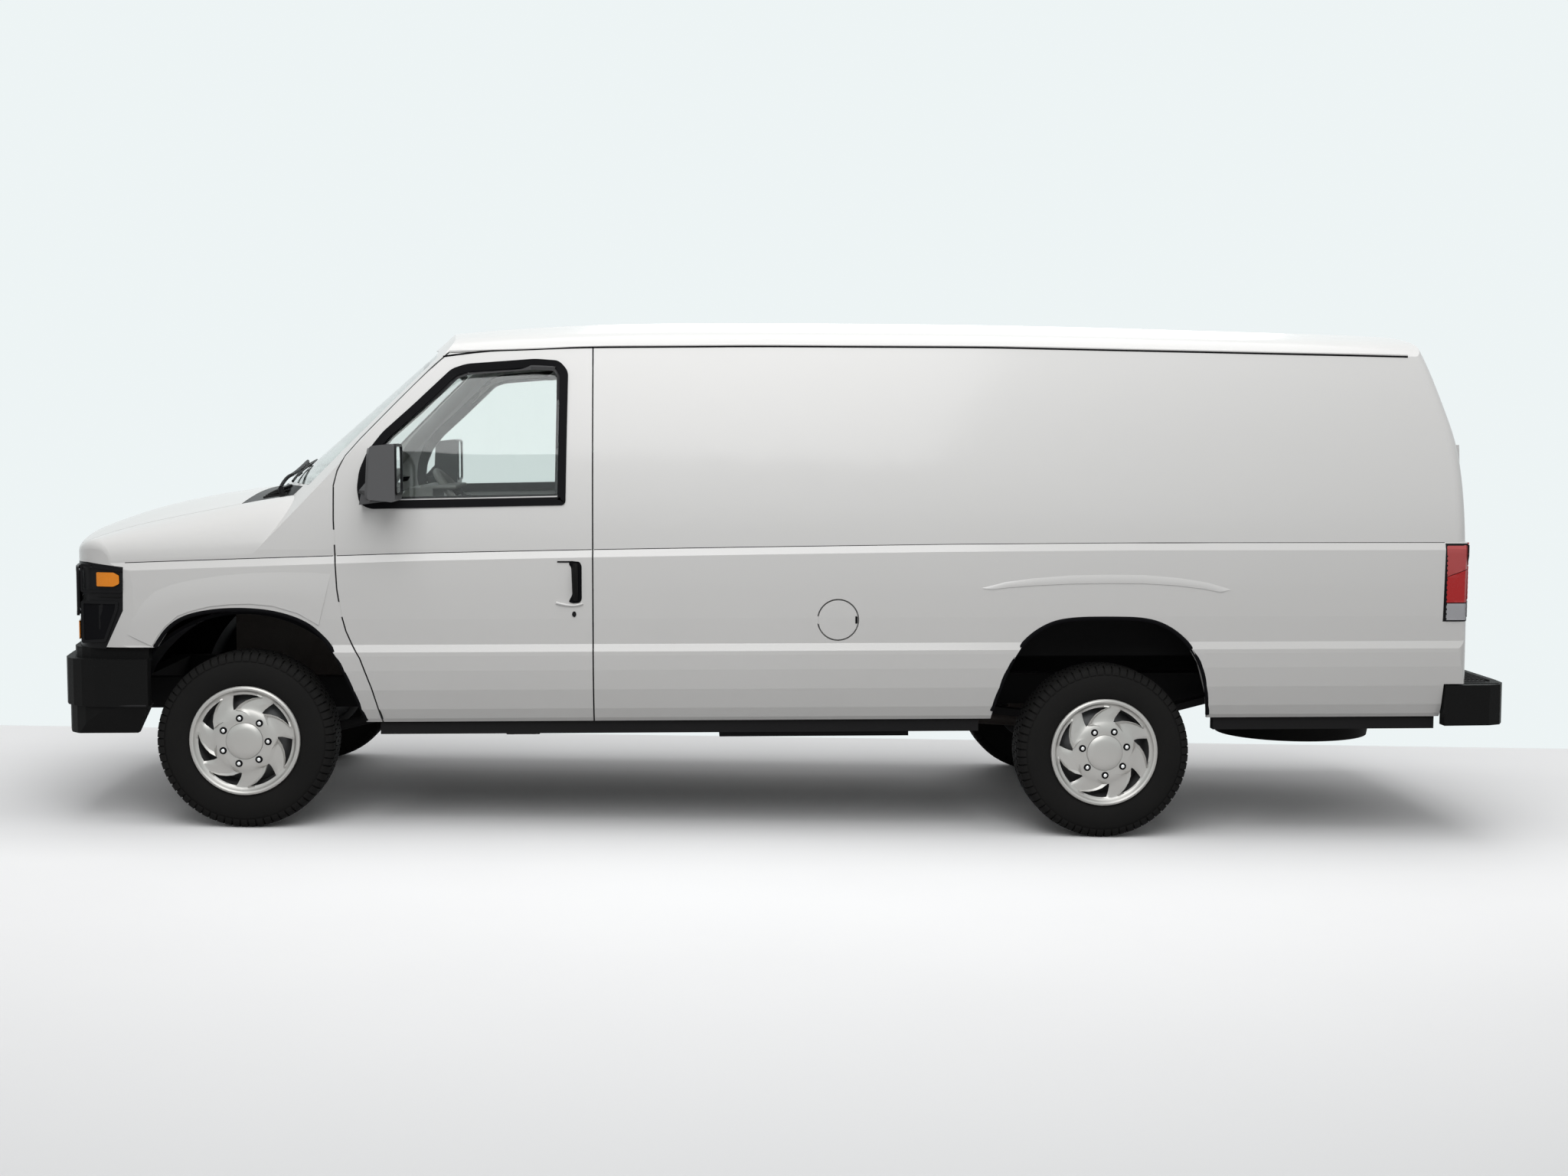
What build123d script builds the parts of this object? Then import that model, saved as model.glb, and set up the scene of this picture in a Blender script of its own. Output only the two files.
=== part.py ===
"""An extended full-size cargo van: body panels, doors, cab, chassis and wheels.

Lengths are in millimetres. X runs rearward, Y to the van's right, Z up, and the ground is Z 0.
The body is drawn level and then tipped nose-down by its rake about the ground below the front axle.
Places along the nose and cab count from the front axle, places along the tail from the rear axle.
"""

import math
import os

from build123d import *

os.makedirs("parts", exist_ok=True)

# Overall sizes
WHEELBASE = 3505.0
TAIL_LENGTH = 1506.0
BODY_HALF = 1006.0
ROOF_HEIGHT = 1952.0
FLOOR_TOP = 690.0
RAKE_DEG = 1.2

# Wheels and axles
HUB_HEIGHT = 358.0
TYRE_RADIUS = 358.0
TYRE_WIDTH = 223.0
RIM_RADIUS = 203.0
FRONT_HUB_INSET = 124.5
REAR_HUB_INSET = 151.0
HUB_FACE = 30.0
KINGPIN_INSET = 266.0
KINGPIN_R = 30.0

# Walls, gaps and chassis members
WALL = 55.0
FLANK_WALL = 60.0
HOOD_WALL = 40.0
GAP = 6.0
SEAT_GAP = 0.3
PIN_CLEARANCE = 0.05
RAIL_WIDTH = 76.0
RAIL_INSET = 576.0
RAIL_LOW = 425.0
RAIL_TOP = 555.0
FLOOR_SHEET = 35.0
GLASS_DEPTH = 18.0
GLASS_SHEET = 5.0

# Openings
DOOR_REAR = 1412.0
CARGO_DOOR_START = 71.0
CARGO_DOOR_FRONT = 590.0
CARGO_DOOR_REAR = 590.0
CARGO_DOOR_LOW = 520.0
REAR_DOOR_INSET = 146.0
CARGO_HINGE_IN = 15.0
CARGO_HINGE_LEAN = 0.08
REAR_HINGE_LEAN = 0.05
HOOD_INSET = 209.0
FUEL_DOOR_R = 80.0
FUEL_DOOR_HEIGHT = 841.0
FUEL_DOOR_AHEAD = 1099.0
PLATE_HEIGHT = 595.0
PLATE_PITCH = 177.8
PLATE_HOLE_R = 3.5

# Spare wheel
SPARE_BEHIND = 1058.0
SPARE_HEIGHT = 330.0

# Worked out from the sizes above
FRONT_AXLE_X = -2243.0
REAR_AXLE_X = FRONT_AXLE_X + WHEELBASE
TAIL_X = REAR_AXLE_X + TAIL_LENGTH
DOOR_REAR_X = FRONT_AXLE_X + DOOR_REAR
WAIST_HALF = BODY_HALF - 20.0
INNER_HALF = BODY_HALF - 84.0
REAR_DOOR_HALF = BODY_HALF - REAR_DOOR_INSET
HOOD_HALF = BODY_HALF - HOOD_INSET
KINGPIN_Y = BODY_HALF - KINGPIN_INSET
RAIL_Y = BODY_HALF - RAIL_INSET
FRONT_HUB_Y = BODY_HALF - FRONT_HUB_INSET
REAR_HUB_Y = BODY_HALF - REAR_HUB_INSET
FUEL_DOOR_X = REAR_AXLE_X - FUEL_DOOR_AHEAD
SPARE_X = REAR_AXLE_X + SPARE_BEHIND
RAIL_OUTER = RAIL_Y + RAIL_WIDTH / 2
RAIL_INNER = RAIL_Y - RAIL_WIDTH / 2
BUMPER_END_X = TAIL_X - 88.0
PLATE_X = FRONT_AXLE_X - 793.0
SIDE = BODY_HALF + 100.0
FAR_FRONT = FRONT_AXLE_X - 1000.0
FAR_REAR = TAIL_X + 300.0
FAR_UP = ROOF_HEIGHT + 350.0
FAR_DOWN = 250.0


# ---------------------------------------------------------------- drawing helpers


def fore(points):
    """Points counted from the front axle, as places in the van."""
    return [(FRONT_AXLE_X + x, z) for x, z in points]


def tail(points):
    """Points counted from the rear axle, as places in the van."""
    return [(REAR_AXLE_X + x, z) for x, z in points]


def side_slab(points, y_low, y_high):
    """A prism whose outline is drawn in side view, running across from y_low to y_high."""
    wire = Polyline([(x, y_low, z) for x, z in points], close=True)
    return extrude(make_face(wire), y_high - y_low, dir=(0, 1, 0))


def cross_slab(points, x_low, x_high):
    """A prism whose outline is drawn across the van, running along it."""
    wire = Polyline([(x_low, y, z) for y, z in points], close=True)
    return extrude(make_face(wire), x_high - x_low, dir=(1, 0, 0))


def plan_slab(points, z_low, z_high):
    """A prism whose outline is drawn in plan, running up from z_low to z_high."""
    wire = Polyline([(x, y, z_low) for x, y in points], close=True)
    return extrude(make_face(wire), z_high - z_low, dir=(0, 0, 1))


def block(x_low, x_high, y_low, y_high, z_low, z_high):
    """An upright box given by its limits."""
    size = (x_high - x_low, y_high - y_low, z_high - z_low)
    middle = ((x_low + x_high) / 2, (y_low + y_high) / 2, (z_low + z_high) / 2)
    return Pos(*middle) * Box(*size)


def rod(start, end, radius):
    """A round bar between two points."""
    axis = Vector(*end) - Vector(*start)
    return extrude(Plane(origin=start, z_dir=axis) * Circle(radius), axis.length)


def turned(rows):
    """A solid turned about the Y axis from (y, radius) rows."""
    wire = Polyline([(0.0, y, r) for y, r in rows], close=True)
    return revolve(make_face(wire), axis=Axis.Y)


def mirrored(shape):
    """The same shape on the other side of the van."""
    return mirror(shape, about=Plane.XZ)


def both_sides(shape):
    """The shape and its mirror image, as solids of one piece."""
    return Compound(children=[*shape.solids(), *mirrored(shape).solids()])


def both_halves(rows):
    """Half an outline from the centre plane out, closed with its mirror image."""
    return [*rows, *[(-y, z) for y, z in reversed(rows) if y > 0]]


def grown_slab(points, amount, y_low, y_high):
    """A side-view prism whose outline is moved outward by amount, inward when negative."""
    flat = make_face(Polyline([(x, z, 0.0) for x, z in points], close=True))
    grown = offset(flat, amount=amount, kind=Kind.INTERSECTION)
    upright = Plane(origin=(0, y_high, 0), x_dir=(1, 0, 0), z_dir=(0, -1, 0))
    return extrude(upright * grown, y_high - y_low)


def grown_cross(rows, amount, x_low, x_high):
    """A cross-view prism whose outline is moved outward by amount, inward when negative."""
    flat = make_face(Polyline([(y, z, 0.0) for y, z in rows], close=True))
    grown = offset(flat, amount=amount, kind=Kind.INTERSECTION)
    upright = Plane(origin=(x_low, 0, 0), x_dir=(0, 1, 0), z_dir=(1, 0, 0))
    return extrude(upright * grown, x_high - x_low)


def curved_face(curve_points, straight_points):
    """A flat face bounded by a smooth curve and by straight lines through the other points."""
    curve = Spline(curve_points)
    straight = Polyline([curve_points[-1], *straight_points, curve_points[0]])
    return make_face(Wire([*curve.edges(), *straight.edges()]))


RAKE = Pos(FRONT_AXLE_X, 0, 0) * Rotation(0, -RAKE_DEG, 0) * Pos(-FRONT_AXLE_X, 0, 0)


# ---------------------------------------------------------------- outlines

DOOR_BAY = REAR_AXLE_X - DOOR_REAR_X

# Roof stations: place, fall of the rail below its highest, rise of the crown above the rail
ROOF_STATIONS = [
    (FRONT_AXLE_X - 107.0, 62.0, 80.0),
    (FRONT_AXLE_X + 829.0, 28.0, 102.0),
    (DOOR_REAR_X, 5.0, 119.0),
    (DOOR_REAR_X + DOOR_BAY * 0.4, 0.0, 124.0),
    (DOOR_REAR_X + DOOR_BAY * 0.77, 3.0, 122.0),
    (REAR_AXLE_X + 481.0, 20.0, 118.0),
    (TAIL_X - 368.0, 33.0, 112.0),
    (TAIL_X + 62.0, 43.0, 92.0),
]

# Hood stations: place, crown height, fall from the crown to the hood's side edge
HOOD_STATIONS = [
    (FRONT_AXLE_X - 777.0, 1176.0, 66.0),
    (FRONT_AXLE_X - 681.0, 1214.0, 66.0),
    (FRONT_AXLE_X - 551.0, 1259.0, 66.0),
    (FRONT_AXLE_X - 291.0, 1320.0, 64.0),
    (FRONT_AXLE_X - 64.0, 1353.0, 52.0),
    (FRONT_AXLE_X + 123.0, 1366.0, 32.0),
    (FRONT_AXLE_X + 343.0, 1376.0, 12.0),
]
HOOD_FRONT_LOW = 1086.0
HOOD_REAR_X = FRONT_AXLE_X - 27.0
COWL_TOP = 1380.0

BELT_LINE = [
    (FRONT_AXLE_X - 857.0, 1066.0),
    (FRONT_AXLE_X - 428.0, 1080.0),
    (FRONT_AXLE_X - 61.0, 1092.0),
    (FRONT_AXLE_X + 731.0, 1116.0),
    (DOOR_REAR_X, 1128.5),
    (DOOR_REAR_X + DOOR_BAY * 0.32, 1138.0),
    (DOOR_REAR_X + DOOR_BAY * 0.68, 1147.0),
    (REAR_AXLE_X + 143.0, 1152.0),
    (TAIL_X + 130.0, 1151.0),
]
LEDGE_DEPTH = 10.0
LEDGE_DROP = 26.0
BELT_TOP = 1400.0

# The rear face, from the sill up: lean ahead of its rearmost plane, height
REAR_FACE = [
    (6.0, 380.0),
    (0.0, 800.0),
    (4.0, 1177.0),
    (15.0, 1398.0),
    (37.0, 1556.0),
    (86.0, 1721.0),
    (136.0, 1867.0),
    (166.0, 1940.0),
    (248.0, 2090.0),
]
CORNER_R = 45.0

# The flank below the belt: depth in from the widest, height
FLANK = [
    (68.0, 425.0),
    (56.0, 440.0),
    (38.0, 480.0),
    (16.0, 560.0),
    (4.0, 640.0),
    (0.0, 700.0),
    (0.0, 716.0),
    (11.0, 746.0),
    (7.0, 850.0),
    (7.0, 980.0),
    (10.0, 1250.0),
]

# The nose in plan: place from the front axle, depth in from the widest
NOSE_PLAN = [
    (-737.0, 656.0),
    (-712.0, 356.0),
    (-682.0, 186.0),
    (-642.0, 96.0),
    (-567.0, 38.0),
    (-437.0, 8.0),
    (-237.0, -6.0),
]
NOSE_REACH = 747.0
NOSE_R = 40.0

FRONT_DOOR = [
    *fore(
        [
            (557.0, 420.0),
            (518.0, 568.0),
            (474.0, 692.0),
            (444.0, 745.0),
            (420.0, 801.0),
            (400.0, 878.0),
            (386.0, 971.0),
            (379.0, 1104.0),
            (373.0, 1248.0),
            (373.0, 1389.0),
            (388.0, 1447.0),
            (418.0, 1508.0),
            (477.0, 1578.0),
            (625.0, 1730.0),
            (745.0, 1848.0),
            (829.0, 1924.0),
            (1178.0, 1937.0),
        ]
    ),
    (DOOR_REAR_X, 1949.0),
    (DOOR_REAR_X, 420.0),
]
WINDOW = [
    *fore(
        [
            (508.0, 1380.0),
            (521.0, 1340.0),
            (553.0, 1330.0),
        ]
    ),
    (DOOR_REAR_X - 144.0, 1345.0),
    (DOOR_REAR_X - 126.0, 1365.0),
    (DOOR_REAR_X - 119.0, 1830.0),
    (DOOR_REAR_X - 154.0, 1868.0),
    *fore(
        [
            (1180.0, 1870.0),
            (913.0, 1848.0),
            (848.0, 1825.0),
            (708.0, 1690.0),
            (593.0, 1585.0),
            (538.0, 1512.0),
            (511.0, 1440.0),
        ]
    ),
]
FRONT_ARCH = fore(
    [
        (-357.0, 300.0),
        (-353.0, 600.0),
        (-337.0, 742.0),
        (-290.0, 815.0),
        (-223.0, 862.0),
        (-107.0, 884.0),
        (20.0, 886.0),
        (143.0, 874.0),
        (263.0, 833.0),
        (331.0, 770.0),
        (383.0, 693.0),
        (443.0, 560.0),
        (486.0, 444.0),
        (508.0, 300.0),
    ]
)
REAR_ARCH = tail(
    [
        (-478.0, 300.0),
        (-462.0, 440.0),
        (-440.0, 540.0),
        (-393.0, 655.0),
        (-331.0, 754.0),
        (-237.0, 817.0),
        (-143.0, 838.0),
        (172.0, 836.0),
        (268.0, 799.0),
        (348.0, 727.0),
        (397.0, 647.0),
        (431.0, 521.0),
        (442.0, 300.0),
    ]
)
LAMP_LOW = 733.0
LAMP_TOP = 1080.0
LAMP_INNER = BODY_HALF - 450.0
LAMP_SIDE = [
    *fore([(-617.0, LAMP_TOP), (-461.0, 1062.0), (-465.0, 887.0), (-540.0, LAMP_LOW)]),
    (FAR_FRONT, LAMP_LOW),
    (FAR_FRONT, LAMP_TOP),
]
TAIL_LAMP_SIDE = [
    (TAIL_X - 108.0, 826.0),
    (TAIL_X - 100.0, 1148.0),
    (FAR_REAR, 1148.0),
    (FAR_REAR, 826.0),
]
CARGO_X = [DOOR_REAR_X + CARGO_DOOR_START]
CARGO_X += [CARGO_X[0] + CARGO_DOOR_FRONT]
CARGO_X += [CARGO_X[1] + CARGO_DOOR_REAR]
CARGO_DOOR_TOP = ROOF_HEIGHT - 50.0
CARGO_DOORWAY = [
    (CARGO_X[0], CARGO_DOOR_LOW),
    (CARGO_X[0], CARGO_DOOR_TOP),
    (CARGO_X[2], CARGO_DOOR_TOP),
    (CARGO_X[2], CARGO_DOOR_LOW),
]
REAR_DOOR_LOW = 568.0
REAR_DOORWAY = [
    (0.0, REAR_DOOR_LOW),
    (REAR_DOOR_HALF, REAR_DOOR_LOW),
    (REAR_DOOR_HALF + 2.0, 1150.0),
    (REAR_DOOR_HALF - 15.0, 1400.0),
    (REAR_DOOR_HALF - 60.0, 1700.0),
    (REAR_DOOR_HALF - 98.0, 1840.0),
    (REAR_DOOR_HALF - 138.0, ROOF_HEIGHT - 62.0),
    (0.0, ROOF_HEIGHT - 47.0),
]
# Hinge lines: each leans in with its wall, and its place is given at one height
CARGO_HINGE_OUT = BODY_HALF - 4.0
CARGO_HINGE_HEIGHT = 1100.0
REAR_HINGE_X = TAIL_X + 6.0
REAR_HINGE_Y = REAR_DOOR_HALF - 2.0
REAR_HINGE_HEIGHT = 1000.0
REAR_WINDOW = [
    (110.0, 1300.0),
    (REAR_DOOR_HALF - 140.0, 1300.0),
    (REAR_DOOR_HALF - 188.0, 1760.0),
    (110.0, 1760.0),
]
WINDSHIELD = [
    (BODY_HALF - 148.0, 1386.0),
    (BODY_HALF - 230.0, 1905.0),
    (BODY_HALF - 406.0, 1938.0),
    (0.0, 1952.0),
]


# ---------------------------------------------------------------- envelopes


def cabin_face(x, fall, rise, inset):
    """Outline of the cabin across one station, from below the waist up to the roof."""
    rail = ROOF_HEIGHT - fall
    half = BODY_HALF - 161.0 + fall * 0.27
    side = [
        (WAIST_HALF - inset, 1130.0),
        (WAIST_HALF - 11.0 - inset, 1300.0),
        (WAIST_HALF - 38.0 - inset, 1500.0),
        (WAIST_HALF - 79.0 - inset, 1715.0),
        (half - inset, rail - inset * 0.5),
    ]
    roof = [
        side[-1],
        (half - 45.0 - inset, rail + rise * 0.36 - inset * 0.9),
        (half - 150.0 - inset, rail + rise * 0.63 - inset),
        (half * 0.57, rail + rise * 0.87 - inset),
        (half * 0.28, rail + rise * 0.97 - inset),
        (0.0, rail + rise - inset),
    ]
    roof += [(-y, z) for y, z in reversed(roof[:-1])]
    low = 700.0
    edges = [
        *Line((x, side[0][0], low), (x, *side[0])).edges(),
        *Spline([(x, y, z) for y, z in side]).edges(),
        *Spline([(x, y, z) for y, z in roof]).edges(),
        *Spline([(x, -y, z) for y, z in reversed(side)]).edges(),
        *Line((x, -side[0][0], side[0][1]), (x, -side[0][0], low)).edges(),
        *Line((x, -side[0][0], low), (x, side[0][0], low)).edges(),
    ]
    return make_face(Wire(edges))


def cabin(inset):
    """The cabin above the waist, full length, moved inward by inset."""
    return loft([cabin_face(x, fall, rise, inset) for x, fall, rise in ROOF_STATIONS])


def hood_face(x, top, fall, inset):
    """Outline across the front end at one station, from the flank over the hood."""
    edge = BODY_HALF - 206.0 - inset * 0.5
    side = WAIST_HALF - inset
    crown = top - inset
    corner = crown - fall
    waist = 1075.0 + (x - HOOD_STATIONS[0][0]) * 0.045
    slope = 2.0 * fall / edge
    reach = 95.0
    swing = [
        (edge, corner),
        (edge + reach, corner - reach * slope),
        (side, waist + 115.0),
        (side, waist),
    ]
    low = 640.0
    edges = [
        *Line((x, side, low), (x, side, waist)).edges(),
        *Bezier(*[(x, y, z) for y, z in reversed(swing)]).edges(),
        *ThreePointArc((x, edge, corner), (x, 0.0, crown), (x, -edge, corner)).edges(),
        *Bezier(*[(x, -y, z) for y, z in swing]).edges(),
        *Line((x, -side, waist), (x, -side, low)).edges(),
        *Line((x, -side, low), (x, side, low)).edges(),
    ]
    return make_face(Wire(edges))


def front_end(inset):
    """The hood and fender envelope, moved inward by inset."""
    return loft([hood_face(x, top, fall, inset) for x, top, fall in HOOD_STATIONS])


def windshield_cutter(depth):
    """Everything ahead of the bowed windshield surface, moved rearward by depth."""
    faces = []
    half = BODY_HALF + 14.0
    for z in (900.0, FAR_UP):
        rise = z - 1372.0
        middle = FRONT_AXLE_X + 39.0 + rise * 1.15 + depth
        edge = middle + 293.0 - rise * 0.155
        arc = ThreePointArc((edge, -half, z), (middle, 0.0, z), (edge, half, z))
        ahead = FAR_FRONT - 400.0
        corners = [(edge, half), (ahead, half), (ahead, -half), (edge, -half)]
        back = Polyline([(x, y, z) for x, y in corners])
        faces.append(make_face(Wire([*arc.edges(), *back.edges()])))
    return loft(faces, ruled=True)


def rear_limit(depth):
    """Everything ahead of the rear face, moved forward by depth."""
    curve = [(TAIL_X - lean - depth, -SIDE, z) for lean, z in REAR_FACE]
    ahead = [(FAR_FRONT, -SIDE, REAR_FACE[-1][1]), (FAR_FRONT, -SIDE, REAR_FACE[0][1])]
    return extrude(curved_face(curve, ahead), SIDE * 2, dir=(0, 1, 0))


def nose_limit(depth):
    """Everything behind the bowed nose, moved rearward by depth."""
    half_plan = [(FRONT_AXLE_X + x + depth, BODY_HALF - gap) for x, gap in NOSE_PLAN]
    tip = (FRONT_AXLE_X - NOSE_REACH + depth, 0.0)
    curve = [*[(x, -y) for x, y in reversed(half_plan)], tip, *half_plan]
    edge = half_plan[-1][1]
    behind = [(FAR_REAR, edge, 0.0), (FAR_REAR, -edge, 0.0)]
    face = curved_face([(x, y, 0.0) for x, y in curve], behind)
    return extrude(face, FAR_UP, dir=(0, 0, 1))


def flanks():
    """The sides below the belt line, with the belt's up-facing ledge and rounded rear corners."""
    rows = [(BODY_HALF - depth, z) for depth, z in FLANK]
    body = cross_slab([*rows, *[(-y, z) for y, z in reversed(rows)]], FAR_FRONT, FAR_REAR)
    above = [*BELT_LINE, (BELT_LINE[-1][0], BELT_TOP), (BELT_LINE[0][0], BELT_TOP)]
    body -= side_slab(above, -WAIST_HALF, WAIST_HALF)
    wire = Polyline([(x, WAIST_HALF, z) for x, z in above], close=True)
    ledge = extrude(make_face(wire), 70.0, dir=(0, LEDGE_DEPTH, -LEDGE_DROP))
    plan = Rectangle(FAR_REAR - FAR_FRONT, BODY_HALF * 2)
    plan = fillet(plan.vertices(), CORNER_R)
    middle = TAIL_X - (FAR_REAR - FAR_FRONT) / 2
    corners = extrude(Pos(middle, 0, 0) * plan, FAR_UP)
    return (body - ledge - mirrored(ledge)) & rear_limit(0.0) & corners


def rounded_cabin():
    """The cabin cut by windshield and rear face, with its rear corners rounded."""
    body = (cabin(0.0) - windshield_cutter(0.0)) & rear_limit(0.0)
    rear = [e for e in body.edges() if e.bounding_box().min.X > TAIL_X - 300.0]
    upright = [e for e in rear if abs(e.center().Y) > REAR_DOOR_HALF - 60.0]
    upright = [e for e in upright if e.bounding_box().size.Z > 5.0]
    return fillet(upright, CORNER_R)


def rounded_nose():
    """The front end cut by the bowed nose, with its leading edge rounded."""
    body = front_end(0.0) & nose_limit(0.0)
    lead = [e for e in body.edges() if e.bounding_box().max.X < FRONT_AXLE_X - 400.0]
    return fillet([e for e in lead if e.bounding_box().min.Z > 1000.0], NOSE_R)


def inside():
    """The space inside the walls of cab, cargo bay and engine bay."""
    rows = [
        (INNER_HALF, 300.0),
        (INNER_HALF, 640.0),
        (BODY_HALF - FLANK_WALL, 710.0),
        (BODY_HALF - FLANK_WALL, 1080.0),
    ]
    low = cross_slab([*rows, *[(-y, z) for y, z in reversed(rows)]], FAR_FRONT, FAR_REAR)
    cab = cabin(WALL) - windshield_cutter(WALL * 1.3)
    whole = cab + front_end(HOOD_WALL) + low
    return whole & rear_limit(WALL) & nose_limit(WALL + 15.0)


def gap_pads(hole, leaf, walls, zone):
    """Hinge blocks that fill a door's gap within zone, all but the seating gap."""
    return (hole - leaf) & walls & zone


shell = (rounded_cabin() + rounded_nose() + flanks()) & nose_limit(0.0)
walls = shell - inside()


def save(name, shape, raked=True):
    """Write one node's solids, tipped by the rake when they belong to the body."""
    placed = Pos(CENTRE_SHIFT, 0, 0) * (RAKE * shape if raked else shape)
    export_step(Compound(children=list(placed.solids())), f"parts/{name}.step")


# ---------------------------------------------------------------- bumpers

CHIN_LOW = 385.0
CHIN_TOP = 504.0


def wrap(points, depth, nose_out):
    """A bumper's bowed outline in plan, moved inward by depth."""
    right = [(x - nose_out * depth, y - depth * y / BODY_HALF) for x, y in points]
    return [*[(x, -y) for x, y in reversed(right[1:])], *right]


def bumper_bar(points, depth, wall, z_low, z_high):
    """A bar that wraps round the corners, open behind, between two heights."""
    nose_out = math.copysign(1.0, points[0][0] - points[-1][0])
    outside = plan_slab(wrap(points, depth, nose_out), z_low, z_high)
    core = wrap(points, depth + wall, nose_out)
    return outside - plan_slab(core, z_low - 5.0, z_high + 5.0)


def bumper_curve(rows, start):
    """Bumper outline points from rows of reach beyond start and depth in from the widest."""
    return [(start + x, BODY_HALF - inward) for x, inward in rows]


def chin_taper(points):
    """The room inside the chin's outer faces, which draw in towards the ground."""
    low, high = CHIN_LOW - 5.0, CHIN_TOP + 5.0
    nose = points[0][0] + 10.0
    half = BODY_HALF - 12.0
    rear = FRONT_AXLE_X - 372.0
    sides = [(half - 60.0, low), (half, high), (-half, high), (60.0 - half, low)]
    length = [(nose + 60.0, low), (nose, high), (rear, high), (rear - 61.0, low)]
    return cross_slab(sides, FAR_FRONT, DOOR_REAR_X) & side_slab(length, -SIDE, SIDE)


def front_bumper():
    """Front bumper with its stepped top, chin and flat for a number plate."""
    rows = [
        (-784.0, 756.0),
        (-776.0, 606.0),
        (-761.0, 356.0),
        (-734.0, 156.0),
        (-714.0, 103.0),
        (-684.0, 68.0),
        (-643.0, 40.0),
        (-587.0, 20.0),
        (-517.0, 9.0),
        (-372.0, 4.0),
    ]
    plan = [(FRONT_AXLE_X - 787.0, 0.0), *bumper_curve(rows, FRONT_AXLE_X)]
    bar = bumper_bar(plan, 0.0, 55.0, 500.0, 690.0)
    top = bumper_bar(plan, 30.0, 45.0, 680.0, LAMP_LOW)
    upper = (bar + top) & block(FAR_FRONT, plan[-1][0], -SIDE, SIDE, 0.0, LAMP_LOW + GAP)
    chin = bumper_bar(plan, 10.0, 90.0, CHIN_LOW, CHIN_TOP)
    chin = chin & chin_taper(plan)
    bumper = RAKE * (upper + chin)
    plate = (PLATE_HEIGHT - 62.0, PLATE_HEIGHT + 62.0)
    bumper -= block(FAR_FRONT, PLATE_X, -155.0, 155.0, *plate)
    for y in (-PLATE_PITCH / 2, PLATE_PITCH / 2):
        start = (PLATE_X - 100.0, y, PLATE_HEIGHT)
        bumper -= rod(start, (PLATE_X + 100.0, y, PLATE_HEIGHT), PLATE_HOLE_R)
    return bumper


def rear_bumper():
    """Rear bumper with a step pad on top."""
    rows = [
        (198.0, 606.0),
        (196.0, 206.0),
        (187.0, 106.0),
        (157.0, 46.0),
        (102.0, 18.0),
        (-88.0, 10.0),
    ]
    plan = [(TAIL_X + 198.0, 0.0), *bumper_curve(rows, TAIL_X)]
    bar = bumper_bar(plan, 0.0, 60.0, 392.0, 560.0)
    half = BODY_HALF - 76.0
    near, far = TAIL_X + 7.0, TAIL_X + 162.0
    pad = [(near, -half), (far, -half), (far + 20.0, 0.0), (far, half), (near, half)]
    return bar + plan_slab(pad, 540.0, 562.0)


FRONT_BUMPER = front_bumper()
REAR_BUMPER = rear_bumper()
FRONT_END_X = FRONT_BUMPER.bounding_box().min.X
REAR_END_X = (RAKE * REAR_BUMPER).bounding_box().max.X
CENTRE_SHIFT = round(-(FRONT_END_X + REAR_END_X) / 2, 1)
print("moved along by", CENTRE_SHIFT)


# ---------------------------------------------------------------- body panels


def body_sides():
    """Both closed sides behind the front doors, without the cargo doors' opening."""
    rails = [(x, ROOF_HEIGHT - fall) for x, fall, rise in ROOF_STATIONS[1:]]
    below = side_slab([*rails, (FAR_REAR, 300.0), (rails[0][0], 300.0)], -SIDE, SIDE)
    behind_door = block(DOOR_REAR_X + GAP / 2, FAR_REAR, -SIDE, SIDE, 300.0, FAR_UP)
    tail_low = block(BUMPER_END_X - GAP, FAR_REAR, -SIDE, SIDE, 300.0, 566.0)
    sides = (walls & below & behind_door) - wheel_holes - rear_hole - tail_low
    return sides - tail_zone - mirrored(tail_zone)


def fuel_door_parts(left):
    """The left side with the filler pocket and its hinge block, and the round door."""
    plane = Plane(origin=(FUEL_DOOR_X, -SIDE, FUEL_DOOR_HEIGHT), z_dir=(0, 1, 0))
    thick = SIDE - BODY_HALF + 18.0
    door = walls & extrude(plane * Circle(FUEL_DOOR_R), thick)
    pocket = extrude(plane * Circle(FUEL_DOOR_R + GAP), thick + 20.0)
    inner = extrude(plane * Circle(FUEL_DOOR_R + SEAT_GAP), thick + 30.0)
    reach = FUEL_DOOR_X - FUEL_DOOR_R - 20.0
    low, high = FUEL_DOOR_HEIGHT - 15.0, FUEL_DOOR_HEIGHT + 15.0
    zone = block(reach, FUEL_DOOR_X, -SIDE, thick - SIDE - 1.0, low, high)
    return (left - pocket) + gap_pads(pocket, inner, walls, zone), door


def cargo_swing(x, reach):
    """The room that a cargo door sweeps about its hinge line at x, so its free edge passes the other."""
    low = CARGO_HINGE_OUT + (CARGO_HINGE_HEIGHT - FAR_DOWN) * CARGO_HINGE_LEAN
    high = CARGO_HINGE_OUT - (FAR_UP - CARGO_HINGE_HEIGHT) * CARGO_HINGE_LEAN
    return rod((x, low, FAR_DOWN), (x, high, FAR_UP), reach)


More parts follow.
